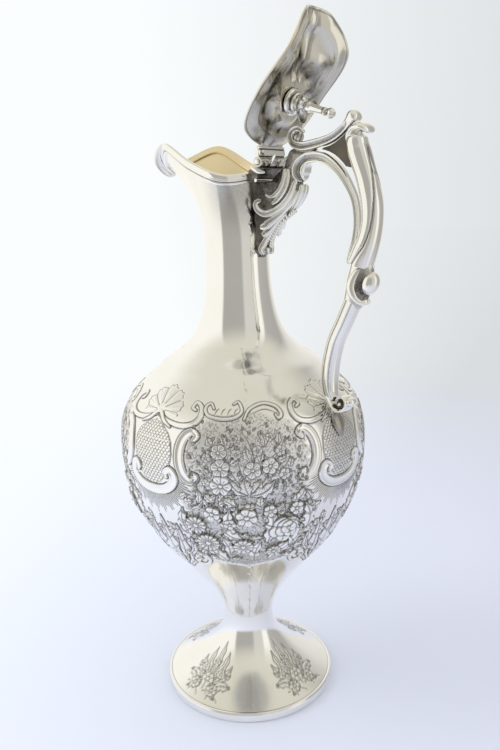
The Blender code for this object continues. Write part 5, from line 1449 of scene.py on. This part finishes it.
bracketShape = {  # outlines from the hinge axis: outward, upward
    "core": [(-8.0, -9.2), (1.0, -9.0), (5.6, -5.6), (12.0, -2.4), (18.0, -8.0), (20.5, -14.0),
             (16.5, -19.5), (11.0, -24.0), (4.5, -29.5), (-0.5, -36.0), (-3.0, -42.0), (-6.0, -47.0),
             (-9.5, -42.0), (-10.0, -30.0), (-10.0, -16.0)],
    "heart": [(9.8, -3.6), (12.6, 3.6), (16.0, 5.4), (23.0, 4.6), (30.0, 5.4), (26.0, 3.0), (20.5, 2.0),
              (17.8, -2.0), (16.6, -6.0), (13.0, -6.0)],
    "beads": [(14.6, -23.6), (12.0, -25.2), (8.2, -27.6), (4.9, -30.0), (2.9, -32.5), (1.2, -35.0),
              (-0.4, -37.6), (-1.0, -40.4)],
    "beadCount": 15, "beadSize": (1.15, 1.3, 1.15), "ribRows": 70, "viewLean": 0.933,
}


# slab: an outline in the hinge's (x, z) carried sideways from low to high, smaller at its bevelled ends,
# which close
def slab(outline, low, high, bevel, inset, dark=0.0):
    outline = np.asarray(outline, float)
    middle = outline.mean(axis=0)
    layers = []
    below = [(0.02, low), (inset, low), (1.0, low + bevel)]
    above = [(1.0, high - bevel), (inset, high), (0.02, high)]
    for shrink, y in below + above:
        flat = middle + (outline - middle) * shrink
        layers.append(np.column_stack((hinge["x"] + flat[:, 0], 0 * flat[:, 0] + y,
                                       hinge["z"] + flat[:, 1])))
    return tube(np.stack(layers), dark)


# one rib of the bracket on both sides, drawn in nearer to the middle where it lies close to it
def bracketRib(stations):
    b = bracketShape
    share = np.linspace(0, 1, b["ribRows"])[:, None]
    dark = fluteDark(b["ribRows"], 0.3 + 0.35 * ease(share, 0.3, 0.9))
    near = [y * float(np.interp(-y, (2, 4, 7, 9), (0.5, 0.6, 0.9, 1.0))) for _, y, _, _ in stations]
    for sign in (1, -1):
        line = [(x - b["viewLean"] * (n - y), sign * n, z, r) for (x, y, z, r), n in zip(stations, near)]
        yield tube(sweep(fromHinge(line), fluted(1.1, 0.4), b["ribRows"]), dark)


# bracket: hollowed ribs that run down from the scroll and curl over the neck, on both sides of a core; the
# core, the heart between hinge and bracket and the bud's petals are darkened as painted shade
def makeBracket():
    b = bracketShape
    sheets = [sheet for stations in bracketRibs for sheet in bracketRib(stations)]
    # painted shade in bands round the bud stands in for its petals
    petals = 0.5 + 0.5 * np.sin(ringAngle * 5)
    sheets.append(tube(ovalBall(atHinge(-3.0, -43.2), (1.9, 3.2, 2.4)), 0.7 * petals))
    # core and heart are darkened as painted shade between the ribs and the hinge
    sheets.append(slab(through(b["core"], 96, closed=True), -2.0, 2.0, 0.8, 0.9, 0.86))
    sheets.append(slab(through(b["heart"], 72, closed=True), -1.6, 1.6, 0.6, 0.9, 0.72))
    castPiece("neckBracket", sheets, "handle_bracket")

    # painted shade on each bead's side towards the neck
    beadShadeTowardsNeck = 0.6 * np.clip(-np.cos(ringAngle), 0, 1)
    line = through(b["beads"], b["beadCount"])
    beads = [tube(ovalBall(atHinge(x + 0.6, z - 0.4), b["beadSize"]), beadShadeTowardsNeck) for x, z in line]
    castPiece("bracketBeads", beads, "bracket_beading")


hingeParts = {  # outlines and stations from the hinge axis
    "block": [(-6.5, -3.6), (-3.6, -3.2), (-1.0, -2.5), (1.6, -2.6), (2.2, -3.4), (0.8, -4.4), (-0.6, -6.0),
              (-0.8, -7.4), (-3.0, -8.2), (-6.5, -8.2)],
    "ear": [(-2.6, 12.4, -2.2, 0.5), (-1.2, 11.8, -3.0, 1.1), (1.6, 11.0, -4.4, 1.2), (4.8, 9.8, -5.2, 0.5)],
    "tip": [(2.0, 3.4, -1.6, 0.8), (4.6, 4.6, 0.4, 1.3), (8.2, 5.6, 3.2, 0.4)],
    "leaf": [(-1.6, 1.2), (1.0, 1.2), (1.2, 2.4), (0.7, 2.7), (1.6, 3.1), (1.9, 4.4), (1.6, 5.7),
             (0.9, 6.1), (1.3, 6.5), (1.3, 7.3), (0.6, 7.7), (-0.8, 7.7), (-1.6, 6.0)],
    # leaf's dark at its notches: tarnish together with painted shade
    "leafDark": [0, 0, 0.3, 0.9, 0.1, 0, 0.1, 0.9, 0.2, 0, 0.3, 0, 0],
    "tab": [(-0.6, 7.2), (1.4, 7.2), (2.4, 12.4), (1.2, 12.8)],
    "bevel": 0.15, "endShare": 0.96,
}


# section in the hinge's (x, z) carried straight along the hinge
def hingeBar(section, low, high, dark=0.0):
    return slab(section, low, high, hingeParts["bevel"], hingeParts["endShare"], dark)


# round section carried along the hinge
def roundBar(radius, low, high, centre=(0.0, 0.0), dark=0.0):
    angle = np.linspace(0, 2 * np.pi, 40, endpoint=False)
    circle = np.column_stack((centre[0] + radius * np.cos(angle), centre[1] + radius * np.sin(angle)))
    return hingeBar(circle, low, high, dark)


# stations on one side of the hinge
def besideHinge(stations, sign):
    return fromHinge([(x, y * sign, z, r) for x, y, z, r in stations])


# hinge: two outer knuckles on a hollowed block behind the rim, and the lid's moulded leaf with the middle
# knuckle. Block, knuckles and tabs are darkened as painted shade and painted reflection, the leaf's dark
# lines at its notches as tarnish together with painted shade
def makeHinge():
    h, half, knuckle = hingeParts, hinge["width"] / 2, hinge["knuckle"]
    block = through(h["block"], 60, closed=True)
    sheets = [
        roundBar(knuckle, -half, -3.3, dark=0.3),
        roundBar(knuckle, 3.3, half, dark=0.3),
        hingeBar(block, -half + 0.6, half - 0.6, 0.9),
        roundBar(0.9, -half - 0.4, half + 0.4, (-1.2, -8.6)),
    ]
    for sign in (1, -1):
        sheets.append(tube(sweep(besideHinge(h["ear"], sign), plainSection(0.7), 50)))
        sheets.append(tube(ovalBall(atHinge(0.0, 0.0, sign * (half + 0.2)), (1.3, 0.9, 1.3))))
        sheets.append(tube(sweep(besideHinge(h["tip"], sign), plainSection(0.6), 40)))
    buildPiece("hingeBase", sheets, [castSilver], "vessel", ["hinge_base"], crease=50)

    sheets = [
        hingeBar(h["leaf"], -half + 0.2, half - 0.2, np.array(h["leafDark"], float)),
        roundBar(knuckle, -3.0, 3.0, dark=0.45),
    ]
    for sign in (1, -1):
        sheets.append(hingeBar(h["tab"], *sorted((sign * 1.6, sign * 8.0)), 0.25))
    buildPiece("lidLeaf", sheets, [castSilver], "lid_group", ["lid_hinge_leaf"], crease=40)


makeArm()
makeScroll()
makeGrip()
makeBoss()
makeLowerArm()
makeTerminal()
makeBracket()
makeHinge()
print("handle, bracket and hinge done")

# foot

footShape = {
    "radius": 49.5, "rimHeight": 5.0, "rimDepth": 1.8, "slope": 29.0, "flareReach": 21.0, "stemReach": 16.0,
    "columns": 560, "rows": 104, "reference": 30.0, "cutDepth": 0.22, "cutDark": 0.78,
    # leaves of a spray by base and tip (degrees, height), width and bend
    # flowers by place, radius, petals and turn
    "leaves": [((0, 13), (0, 27), 2.0, 0.0), ((-2, 12), (-12, 23), 1.9, 0.1),
               ((2, 12), (12, 23), 1.9, -0.1), ((-6, 11), (-21, 18), 2.0, 0.1),
               ((6, 11), (21, 18), 2.0, -0.1), ((-8, 10), (-25, 11), 2.1, -0.1),
               ((8, 10), (25, 11), 2.1, 0.1), ((-5, 11), (-14, 6.8), 1.8, 0.1),
               ((5, 11), (14, 6.8), 1.8, -0.1), ((-17, 13.5), (-22, 14.8), 1.0, 0.0),
               ((17, 13.5), (22, 14.8), 1.0, 0.0)],
    "flowers": [(-11, 14.4, 2.5, 5, 0.3), (11, 14.4, 2.5, 5, 0.3), (0, 17.6, 2.2, 5, 0.1),
                (-9, 9.0, 2.6, 6, 0.2), (9, 9.0, 2.6, 6, 0.2), (0, 11.6, 3.4, 6, 0.0)],
}


# (radius, height) line of the foot: one cubic span from the band's inner edge up into the stem
def footLine(count):
    f, b = footShape, bodyShape
    slope = math.radians(f["slope"])
    edge = np.array((f["radius"] - f["rimDepth"], f["rimHeight"]))
    lean = np.array((-math.cos(slope), math.sin(slope)))
    top = (b["stemRadius"], b["stemZ"])
    return bezier(edge, edge + f["flareReach"] * lean, (top[0], top[1] - f["stemReach"]), top, count)


# foot: turned flare, raised or sunk by a drawing of four sprays, over a plain lining
def makeFoot():
    f = footShape
    fine = footLine(400)
    fineClimb = drawingPlane(fine, f["reference"])
    climb = np.linspace(0, fineClimb[-1], f["rows"])
    around = 2 * math.pi * f["reference"]
    across = np.arange(f["columns"]) / f["columns"] * around - around / 8
    plate = newPlate(climb, across, around, f)

    # (degrees from a side, height in mm) to the drawing plane
    def on(side, place):
        climbed = float(np.interp(place[1], fine[:, 1], fineClimb))
        return np.array((math.radians(side + place[0]) * f["reference"], climbed))

    for side in (0, 90, 180, 270):
        for base, tip, width, bend in f["leaves"]:
            leaf(plate, on(side, base), on(side, tip), width, bend, 3, 0.22, 1.7)
        for a, z, radius, petals, turn in f["flowers"]:
            flower(plate, on(side, (a, z)), radius, petals, turn, 0.3)
    line = np.column_stack([np.interp(climb, fineClimb, fine[:, k]) for k in (0, 1)])
    slope = unit(np.gradient(line, axis=0))
    reach = line[:, :1] + plate["height"] * slope[:, 1:]
    lift = line[:, 1:] - plate["height"] * slope[:, :1]
    turn = (across / f["reference"])[None, :]
    grid = np.stack((reach * np.cos(turn), reach * np.sin(turn), lift), axis=-1)
    hollow = line[::4] - np.column_stack((slope[::4, 1], -slope[::4, 0]))
    sheets = [{"grid": grid, "wrapCols": True, "dark": plate["dark"], "matte": plate["matte"]},
              tube(turned(hollow, 96)[:, ::-1])]
    buildPiece("footFlare", sheets, [chasedSilver], "vessel", ["foot"], weld=False)


# band: a (radius, height) section, turned
def makeFootBand():
    f = footShape
    inner, outer = f["radius"] - f["rimDepth"], f["radius"]
    section = [
        (inner, 4.7), (inner + 0.3, 5.0), (inner + 0.8, 5.1), (inner + 1.2, 5.0), (inner + 1.35, 4.8),
        (inner + 1.3, 4.6), (inner + 1.45, 4.35), (outer - 0.1, 4.1), (outer, 3.7), (outer, 2.0),
        (outer, 0.4), (outer - 0.25, 0.05), (outer - 0.7, 0.0), (inner - 0.6, 0.0), (inner - 1.0, 0.2),
        (inner - 1.0, 3.0),
    ]
    section = through(section, 96, closed=True)
    dark = 0.2 * np.exp(-(((section[:, 1:] - 4.62) / 0.16) ** 2)) * (section[:, :1] > inner + 0.9)
    rim = {"grid": turned(section, 240), "wrapRows": True, "wrapCols": True, "dark": dark}
    buildPiece("footBand", [rim], [sheetSilver], "vessel", ["foot_rim"])


makeFoot()
makeFootBand()
print("foot done")

# CAD pieces that keep their own shape, with a finish of their own
plainNodes = {
    # the terminal's leaf: tarnish together with painted shade
    darkSilver: ("terminal_leaf",),
    sheetSilver: ("hinge_pin", "finial_nut"),
    # the handle's web: oxide together with painted shade of the recess
    webSilver: ("handle_web",),
}
for finish, names in plainNodes.items():
    for name in names:
        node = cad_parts[name]
        node.data.materials.clear()
        node.data.materials.append(finish)
